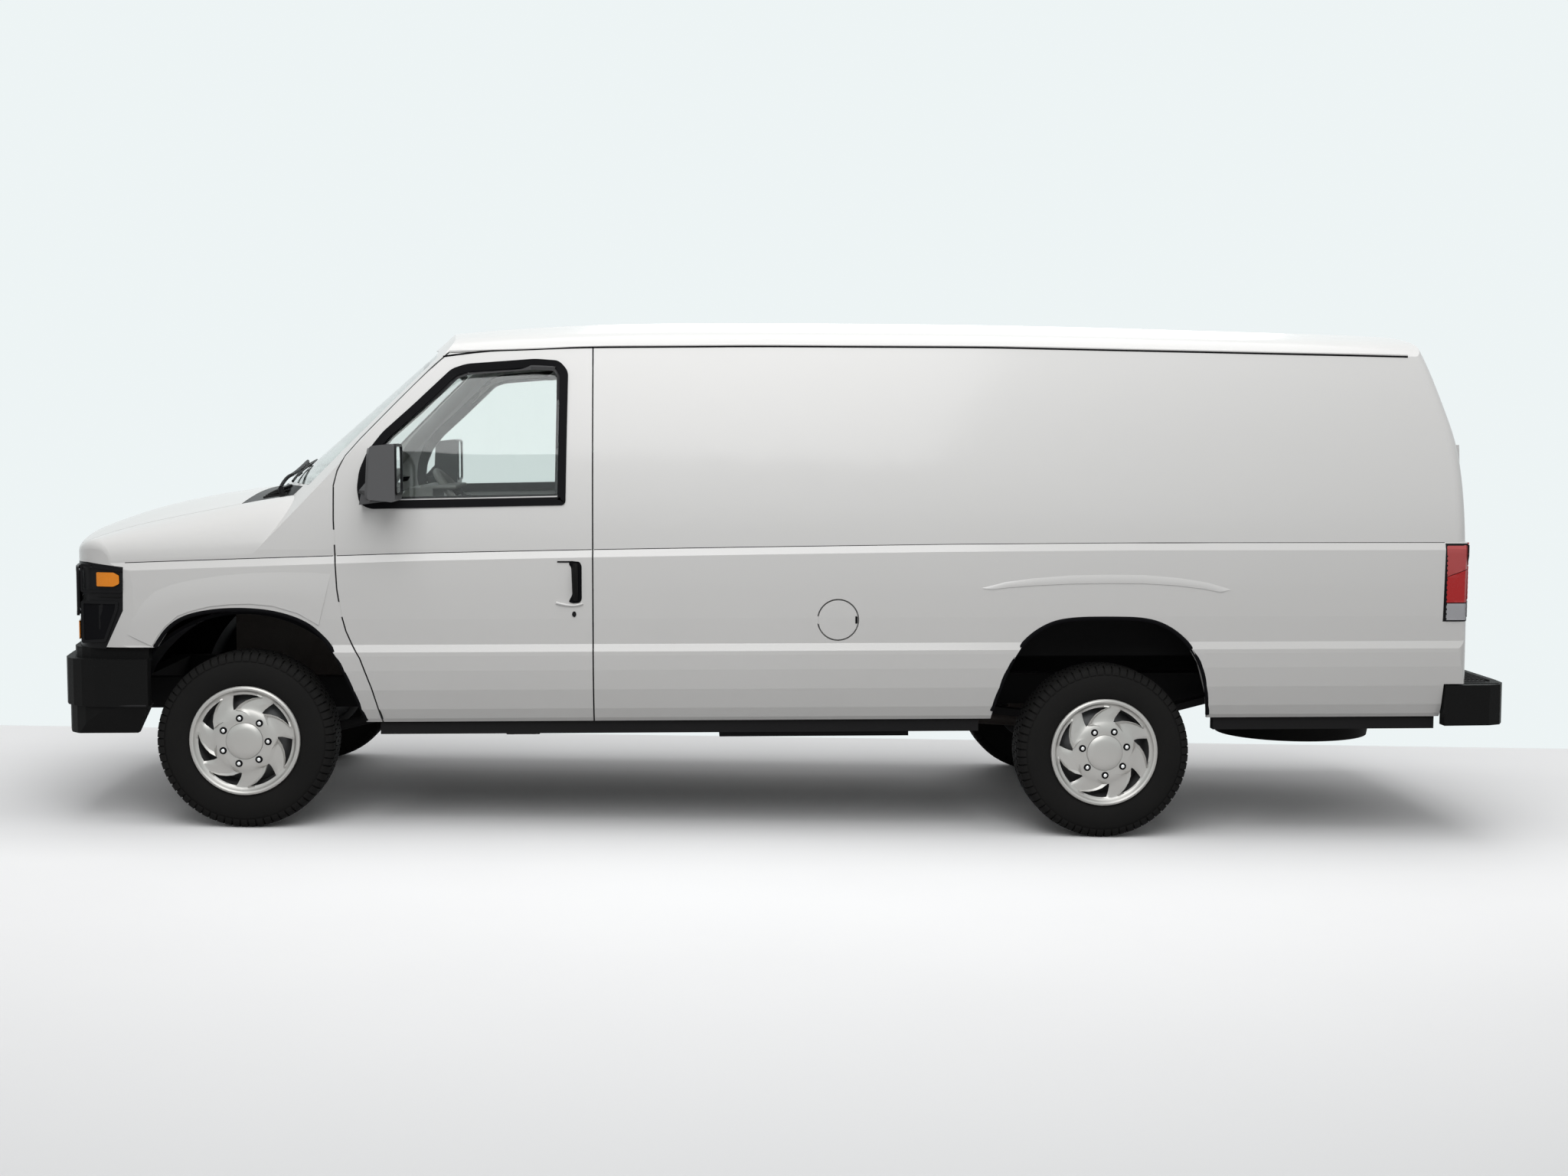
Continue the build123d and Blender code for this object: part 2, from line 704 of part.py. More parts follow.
def cargo_door_parts(right):
    """The right side with its doorway and hinge blocks, and the two hinged cargo doors."""
    span = (INNER_HALF - 200.0, SIDE)
    hole = grown_slab(CARGO_DOORWAY, GAP / 2, *span)
    inner = grown_slab(CARGO_DOORWAY, SEAT_GAP - GAP / 2, *span)
    leaf = walls & grown_slab(CARGO_DOORWAY, -GAP / 2, *span)
    leaf = leaf - block(FAR_FRONT, FAR_REAR, 0.0, INNER_HALF + 3.0, FAR_DOWN, FLOOR_TOP)
    right = right - hole
    for z in (860.0, 1480.0):
        for x in (CARGO_X[0], CARGO_X[2]):
            zone = block(x - 15.0, x + 15.0, *span, z, z + 70.0)
            right = right + gap_pads(hole, inner, walls, zone)
    split = CARGO_X[1]
    ahead = block(FAR_FRONT, split - GAP / 2, -SIDE, SIDE, FAR_DOWN, FAR_UP)
    behind = block(split + GAP / 2, FAR_REAR, -SIDE, SIDE, FAR_DOWN, FAR_UP)
    hinges = (CARGO_X[0] + CARGO_HINGE_IN, CARGO_X[2] - CARGO_HINGE_IN)
    ahead = ahead & cargo_swing(hinges[0], split - GAP / 2 - hinges[0])
    behind = behind & cargo_swing(hinges[1], hinges[1] - split - GAP / 2)
    return right, leaf & ahead, leaf & behind


def rear_door_parts():
    """The right rear door with its window cut through, and the pane."""
    near, far = TAIL_X - 300.0, FAR_REAR
    leaf = walls & grown_cross(both_halves(REAR_DOORWAY), -GAP, near, far)
    leaf = leaf & block(near, far, GAP / 2, SIDE, FAR_DOWN, FAR_UP)
    low = REAR_HINGE_X + (REAR_HINGE_HEIGHT - FAR_DOWN) * REAR_HINGE_LEAN
    high = REAR_HINGE_X - (FAR_UP - REAR_HINGE_HEIGHT) * REAR_HINGE_LEAN
    ends = ((low, REAR_HINGE_Y, FAR_DOWN), (high, REAR_HINGE_Y, FAR_UP))
    leaf = leaf & rod(*ends, REAR_HINGE_Y - GAP / 2)
    window = cross_slab(REAR_WINDOW, near, far)
    pane = rear_limit(GLASS_DEPTH) - rear_limit(GLASS_DEPTH + GLASS_SHEET)
    return leaf - window, pane & window


def rear_hinge_pads():
    """Hinge blocks in the right-hand gap of the rear doorway."""
    near, far = TAIL_X - 300.0, FAR_REAR
    inner = grown_cross(both_halves(REAR_DOORWAY), SEAT_GAP - GAP, near, far)
    pads = []
    for z in (800.0, 1480.0):
        zone = block(near, far, REAR_DOOR_HALF - 80.0, REAR_DOOR_HALF + 40.0, z, z + 70.0)
        pads.append(gap_pads(rear_hole, inner, walls, zone))
    return pads[0] + pads[1]


def front_door_parts():
    """The left front door with its window cut through, and the pane."""
    window = side_slab(WINDOW, -SIDE, -INNER_HALF + 320.0)
    door = walls & grown_slab(FRONT_DOOR, -GAP / 2, -SIDE, -BODY_HALF / 2)
    pane = cabin(GLASS_DEPTH) - cabin(GLASS_DEPTH + GLASS_SHEET)
    return door - window, pane & window


def front_panels():
    """Right fender with its hinge blocks, hood, cowl, grille block and right headlamp block."""
    zone = block(FAR_FRONT, DOOR_REAR_X - 400.0, -SIDE, SIDE, FAR_DOWN, COWL_TOP)
    skin = (walls & zone) - door_hole - wheel_holes
    lamp_zone = side_slab(LAMP_SIDE, LAMP_INNER, SIDE)
    outer = block(FAR_FRONT, DOOR_REAR_X, HOOD_HALF + GAP, SIDE, FAR_DOWN, COWL_TOP)
    over_bumper = block(FAR_FRONT, FRONT_AXLE_X - 333.0, 0.0, SIDE, FAR_DOWN, LAMP_LOW + GAP)
    fender = (skin & outer) - lamp_zone - over_bumper
    inner = grown_slab(FRONT_DOOR, SEAT_GAP - GAP / 2, -SIDE, SIDE)
    for z in (860.0, 1150.0):
        spot = block(FRONT_AXLE_X + 343.0, FRONT_AXLE_X + 443.0, 800.0, SIDE, z, z + 60.0)
        fender = fender + gap_pads(door_hole, inner, walls, spot)
    hood = walls & block(FAR_FRONT, HOOD_REAR_X, -HOOD_HALF, HOOD_HALF, HOOD_FRONT_LOW, 1500.0)
    cowl_x = HOOD_REAR_X + GAP
    wide = HOOD_HALF + GAP
    cowl = walls & block(cowl_x, FRONT_AXLE_X + 343.0, -wide, wide, 1150.0, COWL_TOP)
    for y in (-660.0, 580.0):
        pad = block(HOOD_REAR_X + SEAT_GAP, cowl_x, y, y + 80.0, 1150.0, COWL_TOP)
        cowl = cowl + (walls & pad)
    front = block(FAR_FRONT, FRONT_AXLE_X - 637.0, -LAMP_INNER, LAMP_INNER, LAMP_LOW, LAMP_TOP)
    return fender, hood, cowl, walls & front, walls & lamp_zone


def windshield_parts():
    """The frame of pillars and header, and the bowed pane in it."""
    opening = cross_slab(both_halves(WINDSHIELD), FRONT_AXLE_X - 257.0, FRONT_AXLE_X + 853.0)
    zone = block(FRONT_AXLE_X - 157.0, FRONT_AXLE_X + 829.0, -SIDE, SIDE, COWL_TOP, FAR_UP)
    frame = (walls & zone) - door_hole - opening
    pane = windshield_cutter(20.0) - windshield_cutter(14.0)
    return frame, pane & opening


wheel_holes = side_slab(FRONT_ARCH, -SIDE, SIDE) + side_slab(REAR_ARCH, -SIDE, SIDE)
door_hole = grown_slab(FRONT_DOOR, GAP / 2, -SIDE, SIDE)
rear_hole = cross_slab(both_halves(REAR_DOORWAY), TAIL_X - 300.0, FAR_REAR)
rear_hole = rear_hole + block(
    TAIL_X - 300.0, FAR_REAR, -REAR_DOOR_HALF, REAR_DOOR_HALF, FAR_DOWN, REAR_DOOR_LOW + 2.0
)
tail_zone = side_slab(TAIL_LAMP_SIDE, REAR_DOOR_HALF + 8.0, SIDE)

side = body_sides() & block(FAR_FRONT, FAR_REAR, -SIDE, 0.0, FAR_DOWN, FAR_UP)
side_left, fuel_door = fuel_door_parts(side)
side_right, cargo_front, cargo_rear = cargo_door_parts(mirrored(side))
rear_pads = rear_hinge_pads()
side_right = side_right + rear_pads
side_left = side_left + mirrored(rear_pads)
save("body_side_left", side_left)
save("body_side_right", side_right)
save("fuel_door", fuel_door)
save("side_door_front", cargo_front)
save("side_door_rear", cargo_rear)
save("tail_lamps", both_sides(walls & tail_zone))

roof_edge = [(x, ROOF_HEIGHT - fall) for x, fall, rise in ROOF_STATIONS[1:]]
over = side_slab([*roof_edge, (FAR_REAR, FAR_UP), (roof_edge[0][0], FAR_UP)], -SIDE, SIDE)
save("roof_panel", (walls & over) - rear_hole)

rear_door, rear_pane = rear_door_parts()
front_door, door_pane = front_door_parts()
for place, flip in (("right", False), ("left", True)):
    save("rear_door_" + place, mirrored(rear_door) if flip else rear_door)
    save("rear_glass_" + place, mirrored(rear_pane) if flip else rear_pane)
    save("front_door_" + place, front_door if flip else mirrored(front_door))
    save("door_glass_" + place, door_pane if flip else mirrored(door_pane))

fender, hood, cowl, grille, headlamp = front_panels()
save("front_fenders", both_sides(fender))
save("hood", hood)
save("cowl_panel", cowl)
save("grille", grille)
save("headlamps", both_sides(headlamp))
frame, windshield = windshield_parts()
save("windshield_frame", frame)
save("windshield", windshield)
save("front_bumper", FRONT_BUMPER, raked=False)
save("rear_bumper", REAR_BUMPER)
print("body panels written")


# ---------------------------------------------------------------- mirrors


def mirror_parts():
    """Left door mirror: a tapered case on a short arm that meets the door's skin."""
    case_rows = [(546.0, 1340.0), (558.0, 1548.0), (655.0, 1558.0), (655.0, 1328.0)]
    arm_rows = [(486.0, 1312.0), (498.0, 1372.0), (603.0, 1385.0), (633.0, 1330.0)]
    case = side_slab(fore(case_rows), -BODY_HALF - 234.0, -BODY_HALF - 24.0)
    case = fillet(case.edges().filter_by(Axis.Y), 14.0)
    arm = side_slab(fore(arm_rows), -BODY_HALF - 40.0, -BODY_HALF + 66.0)
    whole = (case + arm) - front_door - door_pane
    return whole & block(FAR_FRONT, DOOR_REAR_X, -SIDE - 200.0, -BODY_HALF + 56.0, 1200.0, 1700.0)


mirror_left = mirror_parts()
save("mirror_left", mirror_left)
save("mirror_right", mirrored(mirror_left))


# ---------------------------------------------------------------- floor and cab

CAB_BACK_X = DOOR_REAR_X - 319.0
FIREWALL_X = FRONT_AXLE_X + 465.0
FIREWALL_SHEET = 28.0
FLOOR_LOW = FLOOR_TOP - FLOOR_SHEET
CAB_FLOOR_TOP = RAIL_TOP + 37.0
TUNNEL_HALF = BODY_HALF - 716.0
TUNNEL_TOP = 1020.0
COVER_SHEET = 30.0
ARCH_AHEAD = 492.0
ARCH_BEHIND = 458.0
ARCH_TOP = 905.0
ARCH_SHEET = 28.0
ARCH_X = (REAR_AXLE_X - ARCH_AHEAD, REAR_AXLE_X + ARCH_BEHIND)
ARCH_INNER = REAR_HUB_Y - TYRE_WIDTH / 2 - 93.0
SILL_LOW = 372.0
SEAT_STEP = 8.0
SEAT_STEP_REAR = CAB_BACK_X + 300.0
SEAT_BASE = FLOOR_TOP + SEAT_STEP
FLOOR_END = TAIL_X - WALL - 13.0


def wheel_box():
    """The right-hand box over the rear wheel, open below and outward."""
    void = block(
        ARCH_X[0] + ARCH_SHEET,
        ARCH_X[1] - ARCH_SHEET,
        ARCH_INNER + ARCH_SHEET,
        INNER_HALF + 10.0,
        FLOOR_LOW - 60.0,
        ARCH_TOP - ARCH_SHEET,
    )
    return block(*ARCH_X, ARCH_INNER, INNER_HALF, FLOOR_LOW, ARCH_TOP) - void


def floor_pan():
    """Cargo floor, the step under the seats, lower cab floor, sills and mounts down to the rails."""
    wide = INNER_HALF
    pan = block(CAB_BACK_X - 30.0, FLOOR_END, -wide, wide, FLOOR_LOW, FLOOR_TOP)
    pan += block(CAB_BACK_X - 30.0, SEAT_STEP_REAR, -wide, wide, FLOOR_LOW, SEAT_BASE)
    pan += block(FIREWALL_X, CAB_BACK_X, -wide, wide, RAIL_TOP, CAB_FLOOR_TOP)
    pan += block(CAB_BACK_X - 30.0, CAB_BACK_X, -wide, wide, RAIL_TOP, FLOOR_TOP)
    pan += block(FLOOR_END - 50.0, FLOOR_END, -wide + 72.0, wide - 72.0, RAIL_TOP, FLOOR_TOP)
    inner_wide = wide - 50.0
    side = block(
        FRONT_AXLE_X + 543.0, ARCH_X[0] - 20.0, inner_wide, wide, SILL_LOW, FLOOR_LOW + 15.0
    )
    side += block(ARCH_X[1] + 10.0, TAIL_X - 108.0, inner_wide, wide, SILL_LOW, FLOOR_LOW + 15.0)
    step = (REAR_AXLE_X - CAB_BACK_X) / 3
    for x in (CAB_BACK_X + 50.0, CAB_BACK_X + step, CAB_BACK_X + step * 2):
        side += block(x, x + 60.0, RAIL_Y - 30.0, RAIL_Y + 30.0, RAIL_TOP, FLOOR_LOW + 5.0)
    for x in (REAR_AXLE_X + 640.0, TAIL_X - 208.0):
        side += block(x, x + 60.0, RAIL_Y - 30.0, RAIL_Y + 30.0, RAIL_TOP, FLOOR_LOW + 5.0)
    well = block(*ARCH_X, ARCH_INNER, wide + 10.0, RAIL_TOP, ARCH_TOP)
    pan = pan + side + mirrored(side) - well - mirrored(well)
    tunnel = (FIREWALL_X - 30.0, CAB_BACK_X - 70.0, -TUNNEL_HALF, TUNNEL_HALF)
    return pan - block(*tunnel, RAIL_TOP - 50.0, FLOOR_LOW - 10.0)


def firewall():
    """The wall between engine and cab, open over the engine."""
    back = FIREWALL_X + FIREWALL_SHEET
    half = WAIST_HALF - WALL - 15.0
    wall = block(FIREWALL_X, back, -half, half, CAB_FLOOR_TOP, 1325.0)
    return wall - block(
        FIREWALL_X - 20.0, back + 20.0, -TUNNEL_HALF, TUNNEL_HALF, RAIL_TOP, TUNNEL_TOP
    )


def engine_cover():
    """The hollow cover over the back of the engine, between the seats."""
    near = FIREWALL_X + FIREWALL_SHEET
    far = CAB_BACK_X - 40.0
    half = TUNNEL_HALF + COVER_SHEET
    cover = block(near, far, -half, half, CAB_FLOOR_TOP, TUNNEL_TOP + COVER_SHEET)
    void = (-TUNNEL_HALF, TUNNEL_HALF, RAIL_TOP, TUNNEL_TOP)
    return cover - block(near - 20.0, far - COVER_SHEET, *void)


STEERING_Y = -(BODY_HALF - 471.0)
WHEEL_AXIS = Vector(1.0, 0.0, 0.85).normalized()
WHEEL_CENTRE = Vector(FRONT_AXLE_X + 858.0, STEERING_Y, 1290.0)
WHEEL_R = 190.0
HUB_DROP = 38.0


def dashboard():
    """The dashboard with its instrument hood and steering column."""
    near = FIREWALL_X + FIREWALL_SHEET
    rows = [
        (near, 1060.0),
        (near, 1325.0),
        (near + 150.0, 1325.0),
        (near + 240.0, 1290.0),
        (near + 270.0, 1200.0),
        (near + 250.0, 1060.0),
    ]
    hood_rows = [
        (near + 110.0, 1325.0),
        (near + 150.0, 1370.0),
        (near + 250.0, 1372.0),
        (near + 250.0, 1280.0),
        (near + 110.0, 1280.0),
    ]
    half = INNER_HALF - 22.0
    panel = side_slab(rows, -half, half)
    panel += side_slab(hood_rows, STEERING_Y - 205.0, STEERING_Y + 205.0)
    start = WHEEL_CENTRE - WHEEL_AXIS * 170.0
    end = WHEEL_CENTRE - WHEEL_AXIS * (HUB_DROP + SEAT_GAP)
    return panel + rod(tuple(start), tuple(end), 32.0)


def steering_wheel():
    """The steering wheel: rim, spokes and hub."""
    plane = Plane(origin=tuple(WHEEL_CENTRE), z_dir=WHEEL_AXIS)
    hub = Pos(0, 0, 10.0 - 24.0) * Cylinder(52.0, 48.0)
    wheel = Torus(WHEEL_R, 15.0) + hub + Box(WHEEL_R * 2 - 8.0, 26.0, 16.0)
    return plane * wheel


def seats():
    """The two front seats on their pedestals."""
    outer = INNER_HALF - 92.0
    inner = outer - 500.0
    back = CAB_BACK_X
    rows = [
        (back - 185.0, 900.0),
        (back - 190.0, 1010.0),
        (back + 220.0, 985.0),
        (back + 270.0, 1300.0),
        (back + 305.0, 1650.0),
        (back + 390.0, 1650.0),
        (back + 360.0, 1250.0),
        (back + 320.0, 900.0),
    ]
    seat = side_slab(rows, inner, outer)
    seat += block(back, back + 280.0, inner + 50.0, outer - 50.0, SEAT_BASE, 910.0)
    seat += block(back - 140.0, back, inner + 50.0, outer - 50.0, CAB_FLOOR_TOP, 910.0)
    riser = block(back - 30.0, back, inner, outer, RAIL_TOP, SEAT_BASE)
    return both_sides(seat - riser)


save("floor_pan", floor_pan())
save("wheel_boxes", both_sides(wheel_box()))
save("firewall", firewall())
save("engine_cover", engine_cover())
save("dashboard", dashboard())
save("steering_wheel", steering_wheel())
save("seats", seats())
print("cab written")


# ---------------------------------------------------------------- chassis

ENGINE_BACK_X = FIREWALL_X + 138.0
GEARBOX_BACK_X = CAB_BACK_X + 190.0
GEARBOX_TOP = RAIL_TOP - 7.0
MUFFLER_Y = BODY_HALF - 366.0
MUFFLER_X = (DOOR_REAR_X + DOOR_BAY * 0.28, DOOR_REAR_X + DOOR_BAY * 0.6)
MUFFLER_Z = 440.0
SPRING_LOW = 352.0
SPRING_RISE = WHEELBASE * math.sin(math.radians(RAKE_DEG))


def frame_rail():
    """The right-hand chassis rail, up to the rear bumper."""
    rail = block(
        FRONT_AXLE_X - 617.0, TAIL_X + 144.0, RAIL_INNER, RAIL_OUTER, RAIL_LOW, RAIL_TOP
    )
    return rail - REAR_BUMPER


def crossmembers():
    """The members between the rails, one of them with the spare wheel's hanger."""
    places = [FRONT_AXLE_X - 557.0, GEARBOX_BACK_X + 110.0]
    places += [(places[1] + REAR_AXLE_X - 360.0) / 2, REAR_AXLE_X - 360.0]
    places += [SPARE_X, TAIL_X - 168.0]
    low = RAIL_TOP - 80.0
    members = [
        block(x - 35.0, x + 35.0, -RAIL_INNER, RAIL_INNER, low, RAIL_TOP) for x in places
    ]
    members[4] = members[4] + rod((SPARE_X, 0, SPARE_HEIGHT + 20.0), (SPARE_X, 0, low + 5.0), 14.0)
    return Compound(children=members)


def engine():
    """Engine and gearbox as one plain solid."""
    block_half = TUNNEL_HALF - 50.0
    lump = block(FRONT_AXLE_X - 177.0, ENGINE_BACK_X, -block_half, block_half, 450.0, 980.0)
    return lump + block(ENGINE_BACK_X, GEARBOX_BACK_X, -125.0, 125.0, 390.0, GEARBOX_TOP)


ENGINE = engine()
RIGHT_RAIL = frame_rail()
DRIVESHAFT = rod(
    (GEARBOX_BACK_X - 25.0, 0.0, 432.0), (REAR_AXLE_X - 132.0, 0.0, 290.0), 36.0
)
DRIVESHAFT = DRIVESHAFT - ENGINE


def leaf_spring():
    """The right-hand leaf spring, with its hangers down from the rail."""
    low = tail([(-742.0, 470.0), (-362.0, 388.0), (0.0, SPRING_LOW), (358.0, 390.0), (718.0, 480.0)])
    rows = [*low, *[(x, z + 30.0) for x, z in reversed(low)]]
    near, far = RAIL_OUTER + 32.0, RAIL_OUTER + 97.0
    spring = side_slab(rows, near, far)
    for x in (low[0][0], low[-1][0] - 30.0):
        spring += block(x, x + 30.0, RAIL_OUTER, far, 478.0, RAIL_TOP)
    return spring


LEAF_SPRING = leaf_spring()


def rear_axle():
    """Rear axle tube with its differential, brake drums and spring pads."""
    end = REAR_HUB_Y - HUB_FACE - SEAT_GAP
    centre = (REAR_AXLE_X, HUB_HEIGHT)
    axle = rod((centre[0], -end, centre[1]), (centre[0], end, centre[1]), 45.0)
    axle += Pos(REAR_AXLE_X, 0, HUB_HEIGHT) * Sphere(150.0)
    drum_end = REAR_HUB_Y - 120.0
    drum = rod((centre[0], drum_end - 85.0, centre[1]), (centre[0], drum_end, centre[1]), 150.0)
    near, far = RAIL_OUTER + 32.0, RAIL_OUTER + 97.0
    pad_top = SPRING_LOW + SPRING_RISE + 9.0
    pad = block(REAR_AXLE_X - 40.0, REAR_AXLE_X + 40.0, near, far, 380.0, pad_top)
    pad = pad - RAKE * LEAF_SPRING
    return axle + drum + mirrored(drum) + pad + mirrored(pad) - RAKE * DRIVESHAFT


def front_suspension(beam_x):
    """The right-hand swinging front beam with its kingpin eye, radius arm and coil spring."""
    rail = RAKE * RIGHT_RAIL
    tower_y = (RAIL_OUTER + 2.0, KINGPIN_Y - 120.0)
    coil_y = KINGPIN_Y - 180.0
    ahead, behind = FRONT_AXLE_X - 60.0, FRONT_AXLE_X + 60.0
    whole = rod((beam_x, -150.0, 300.0), (FRONT_AXLE_X, KINGPIN_Y - 20.0, 296.0), 24.0)
    whole += rod((FRONT_AXLE_X, KINGPIN_Y, 272.0), (FRONT_AXLE_X, KINGPIN_Y, 320.0), 50.0)
    arm_end = (FRONT_AXLE_X + 763.0, RAIL_OUTER + 24.0, 470.0)
    whole += rod((FRONT_AXLE_X, KINGPIN_Y - 130.0, 290.0), arm_end, 20.0)
    whole += rod((FRONT_AXLE_X, coil_y, 300.0), (FRONT_AXLE_X, coil_y, 620.0), 55.0)
    whole += block(ahead, behind, *tower_y, 580.0, 630.0)
    whole += block(ahead, behind, RAIL_Y, tower_y[0] + 10.0, 500.0, 630.0)
    seat_x = FRONT_AXLE_X + 723.0
    whole += block(seat_x, seat_x + 80.0, RAIL_Y, RAIL_OUTER + 37.0, 450.0, 500.0)
    low, high = 200.0, HUB_HEIGHT + 100.0
    pin = rod((FRONT_AXLE_X, KINGPIN_Y, low), (FRONT_AXLE_X, KINGPIN_Y, high), KINGPIN_R + PIN_CLEARANCE)
    return whole - pin - rail


def exhaust():
    """Muffler on its hanger, with the pipe from the engine and the tail pipe."""
    near, far = MUFFLER_X
    system = rod((near, MUFFLER_Y, MUFFLER_Z), (far, MUFFLER_Y, MUFFLER_Z), 95.0)
    system += block(near + 300.0, near + 350.0, MUFFLER_Y - 15.0, MUFFLER_Y + 15.0, 500.0, FLOOR_LOW)
    system += rod((far - 20.0, MUFFLER_Y, MUFFLER_Z), (far + 270.0, MUFFLER_Y, 520.0), 28.0)
    low = RAIL_LOW - 40.0
    bends = [
        (ENGINE_BACK_X - 60.0, TUNNEL_HALF - 75.0, 470.0),
        (ENGINE_BACK_X + 260.0, TUNNEL_HALF + 40.0, low),
        (near - 270.0, MUFFLER_Y - 40.0, low),
        (near + 20.0, MUFFLER_Y, MUFFLER_Z),
    ]
    pipe = rod(bends[0], bends[1], 28.0)
    for start, end in zip(bends[1:-1], bends[2:]):
        pipe += Pos(*start) * Sphere(31.0) + rod(start, end, 28.0)
    return system + (pipe - ENGINE)


def spare_wheel():
    """The spare, lying flat under the rear floor."""
    half = TYRE_WIDTH / 2
    inner = RIM_RADIUS - 8.0
    rows = [
        (-half + 11.0, inner),
        (-half, TYRE_RADIUS - 98.0),
        (-half + 11.0, TYRE_RADIUS - 18.0),
        (0.0, TYRE_RADIUS),
    ]
    rows = [*rows, *[(-y, r) for y, r in reversed(rows[:-1])]]
    disc = [(-20.0, 0.01), (-20.0, inner + 1.0), (20.0, inner + 1.0), (20.0, 0.01)]
    return Pos(SPARE_X, 0, SPARE_HEIGHT) * Rotation(90, 0, 0) * (turned(rows) + turned(disc))


def wheel_liner():
    """The arched liner over the right front wheel."""
    near = BODY_HALF - 406.0
    middle = (FRONT_AXLE_X, near, HUB_HEIGHT)
    plane = Plane(origin=middle, x_dir=(1, 0, 0), z_dir=(0, 1, 0))
    reach = INNER_HALF - near
    arch = extrude(plane * Circle(522.0), reach) - extrude(plane * Circle(508.0), reach)
    return arch & block(FRONT_AXLE_X - 517.0, FIREWALL_X - 7.0, 0.0, SIDE, HUB_HEIGHT + 162.0, 900.0)


fuel_tank = block(
    DOOR_REAR_X + DOOR_BAY * 0.245,
    DOOR_REAR_X + DOOR_BAY * 0.62,
    -INNER_HALF + 62.0,
    -RAIL_OUTER - 12.0,
    345.0,
    FLOOR_LOW,
)
save("frame_rails", both_sides(RIGHT_RAIL))
save("crossmembers", crossmembers())
save("engine", ENGINE)
save("driveshaft", DRIVESHAFT)
save("leaf_springs", both_sides(LEAF_SPRING))
save("rear_axle", rear_axle(), raked=False)
beams = [front_suspension(FRONT_AXLE_X - 32.0), mirrored(front_suspension(FRONT_AXLE_X + 32.0))]
save("front_axle_beams", Compound(children=[solid for beam in beams for solid in beam.solids()]), raked=False)
save("fuel_tank", fuel_tank)
save("exhaust", exhaust())
save("spare_wheel", spare_wheel())
save("wheel_liners", both_sides(wheel_liner()))
print("chassis written")


# ---------------------------------------------------------------- wheels

BEAD_HALF = 88.0
RIM_SHEET = 13.0
COVER_R = 222.0
SLOT_COUNT = 7


def tyre():
    """A tyre turned about the Y axis, with rounded shoulders."""
    half = TYRE_WIDTH / 2
    rows = [
        (-BEAD_HALF, RIM_RADIUS),
        (-half, RIM_RADIUS + 47.0),
        (-half, TYRE_RADIUS - 68.0),
        (-half + 3.5, TYRE_RADIUS - 38.0),
        (-half + 13.5, TYRE_RADIUS - 13.0),
        (-half + 31.5, TYRE_RADIUS - 3.0),
        (0.0, TYRE_RADIUS),
    ]
    return turned([*rows, *[(-y, r) for y, r in reversed(rows[:-1])]])


def wheel():
    """A steel wheel with its domed cover; the outer side faces +Y."""
    inner = RIM_RADIUS - RIM_SHEET
    rows = [
        (-BEAD_HALF, RIM_RADIUS),
        (-BEAD_HALF, inner),
        (20.0, inner - 12.0),
        (30.0, 90.0),
        (-HUB_FACE, 70.0),
        (-HUB_FACE, 0.0),
        (60.0, 0.0),
        (62.0, 90.0),
        (60.0, inner - 12.0),
        (BEAD_HALF, inner - 5.0),
        (BEAD_HALF, RIM_RADIUS),
    ]
    cover_rows = [
        (BEAD_HALF + 2.0, RIM_RADIUS + 2.0),
        (108.0, COVER_R),
        (114.0, COVER_R - 8.0),
        (96.0, 188.0),
        (104.0, 120.0),
        (116.0, 72.0),
        (124.0, 40.0),
        (127.0, 0.0),
        (58.0, 0.0),
        (58.0, 60.0),
        (100.0, 72.0),
        (BEAD_HALF, 120.0),
        (BEAD_HALF - 2.0, RIM_RADIUS - 4.0),
    ]
    cover = turned(cover_rows)
    slot = Pos(158.0, 100.0, 0.0) * Rotation(0, 22, 0) * Box(52.0, 60.0, 22.0)
    for index in range(SLOT_COUNT):
        cover -= Rotation(0, index * 360.0 / SLOT_COUNT, 0) * slot
    return turned(rows) + cover


def knuckle():
    """The right front kingpin with its wheel spindle."""
    pin = rod((FRONT_AXLE_X, KINGPIN_Y, 262.0), (FRONT_AXLE_X, KINGPIN_Y, 440.0), KINGPIN_R)
    end = FRONT_HUB_Y - HUB_FACE - SEAT_GAP
    return pin + rod((FRONT_AXLE_X, KINGPIN_Y, HUB_HEIGHT), (FRONT_AXLE_X, end, HUB_HEIGHT), 32.0)


TYRE = tyre()
WHEEL = wheel()
for name, x, y in (
    ("front_left", FRONT_AXLE_X, -FRONT_HUB_Y),
    ("front_right", FRONT_AXLE_X, FRONT_HUB_Y),
    ("rear_left", REAR_AXLE_X, -REAR_HUB_Y),
    ("rear_right", REAR_AXLE_X, REAR_HUB_Y),
):
    spot = Pos(x, y, HUB_HEIGHT) * Rotation(0, 0, 180 if y < 0 else 0)
    save("tyre_" + name, spot * TYRE, raked=False)
    save("wheel_" + name, spot * WHEEL, raked=False)
save("knuckle_left", mirrored(knuckle()), raked=False)
save("knuckle_right", knuckle(), raked=False)
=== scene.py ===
# %% [markdown]
# # A long cargo van, made part by part
#
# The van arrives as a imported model: closed solids for its panels, doors, wheels and chassis,
# already in their real places. This lesson keeps those shapes and adds what the eye looks for:
# paint, rubber, lamps, wheel covers, tread, wipers and the cab's insides.
# Lengths are metres. X runs to the tail, Y to the van's right, Z up, and the ground is Z 0.

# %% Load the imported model
import math

import bmesh
import bpy
from mathutils import Matrix, Vector
from mathutils.bvhtree import BVHTree


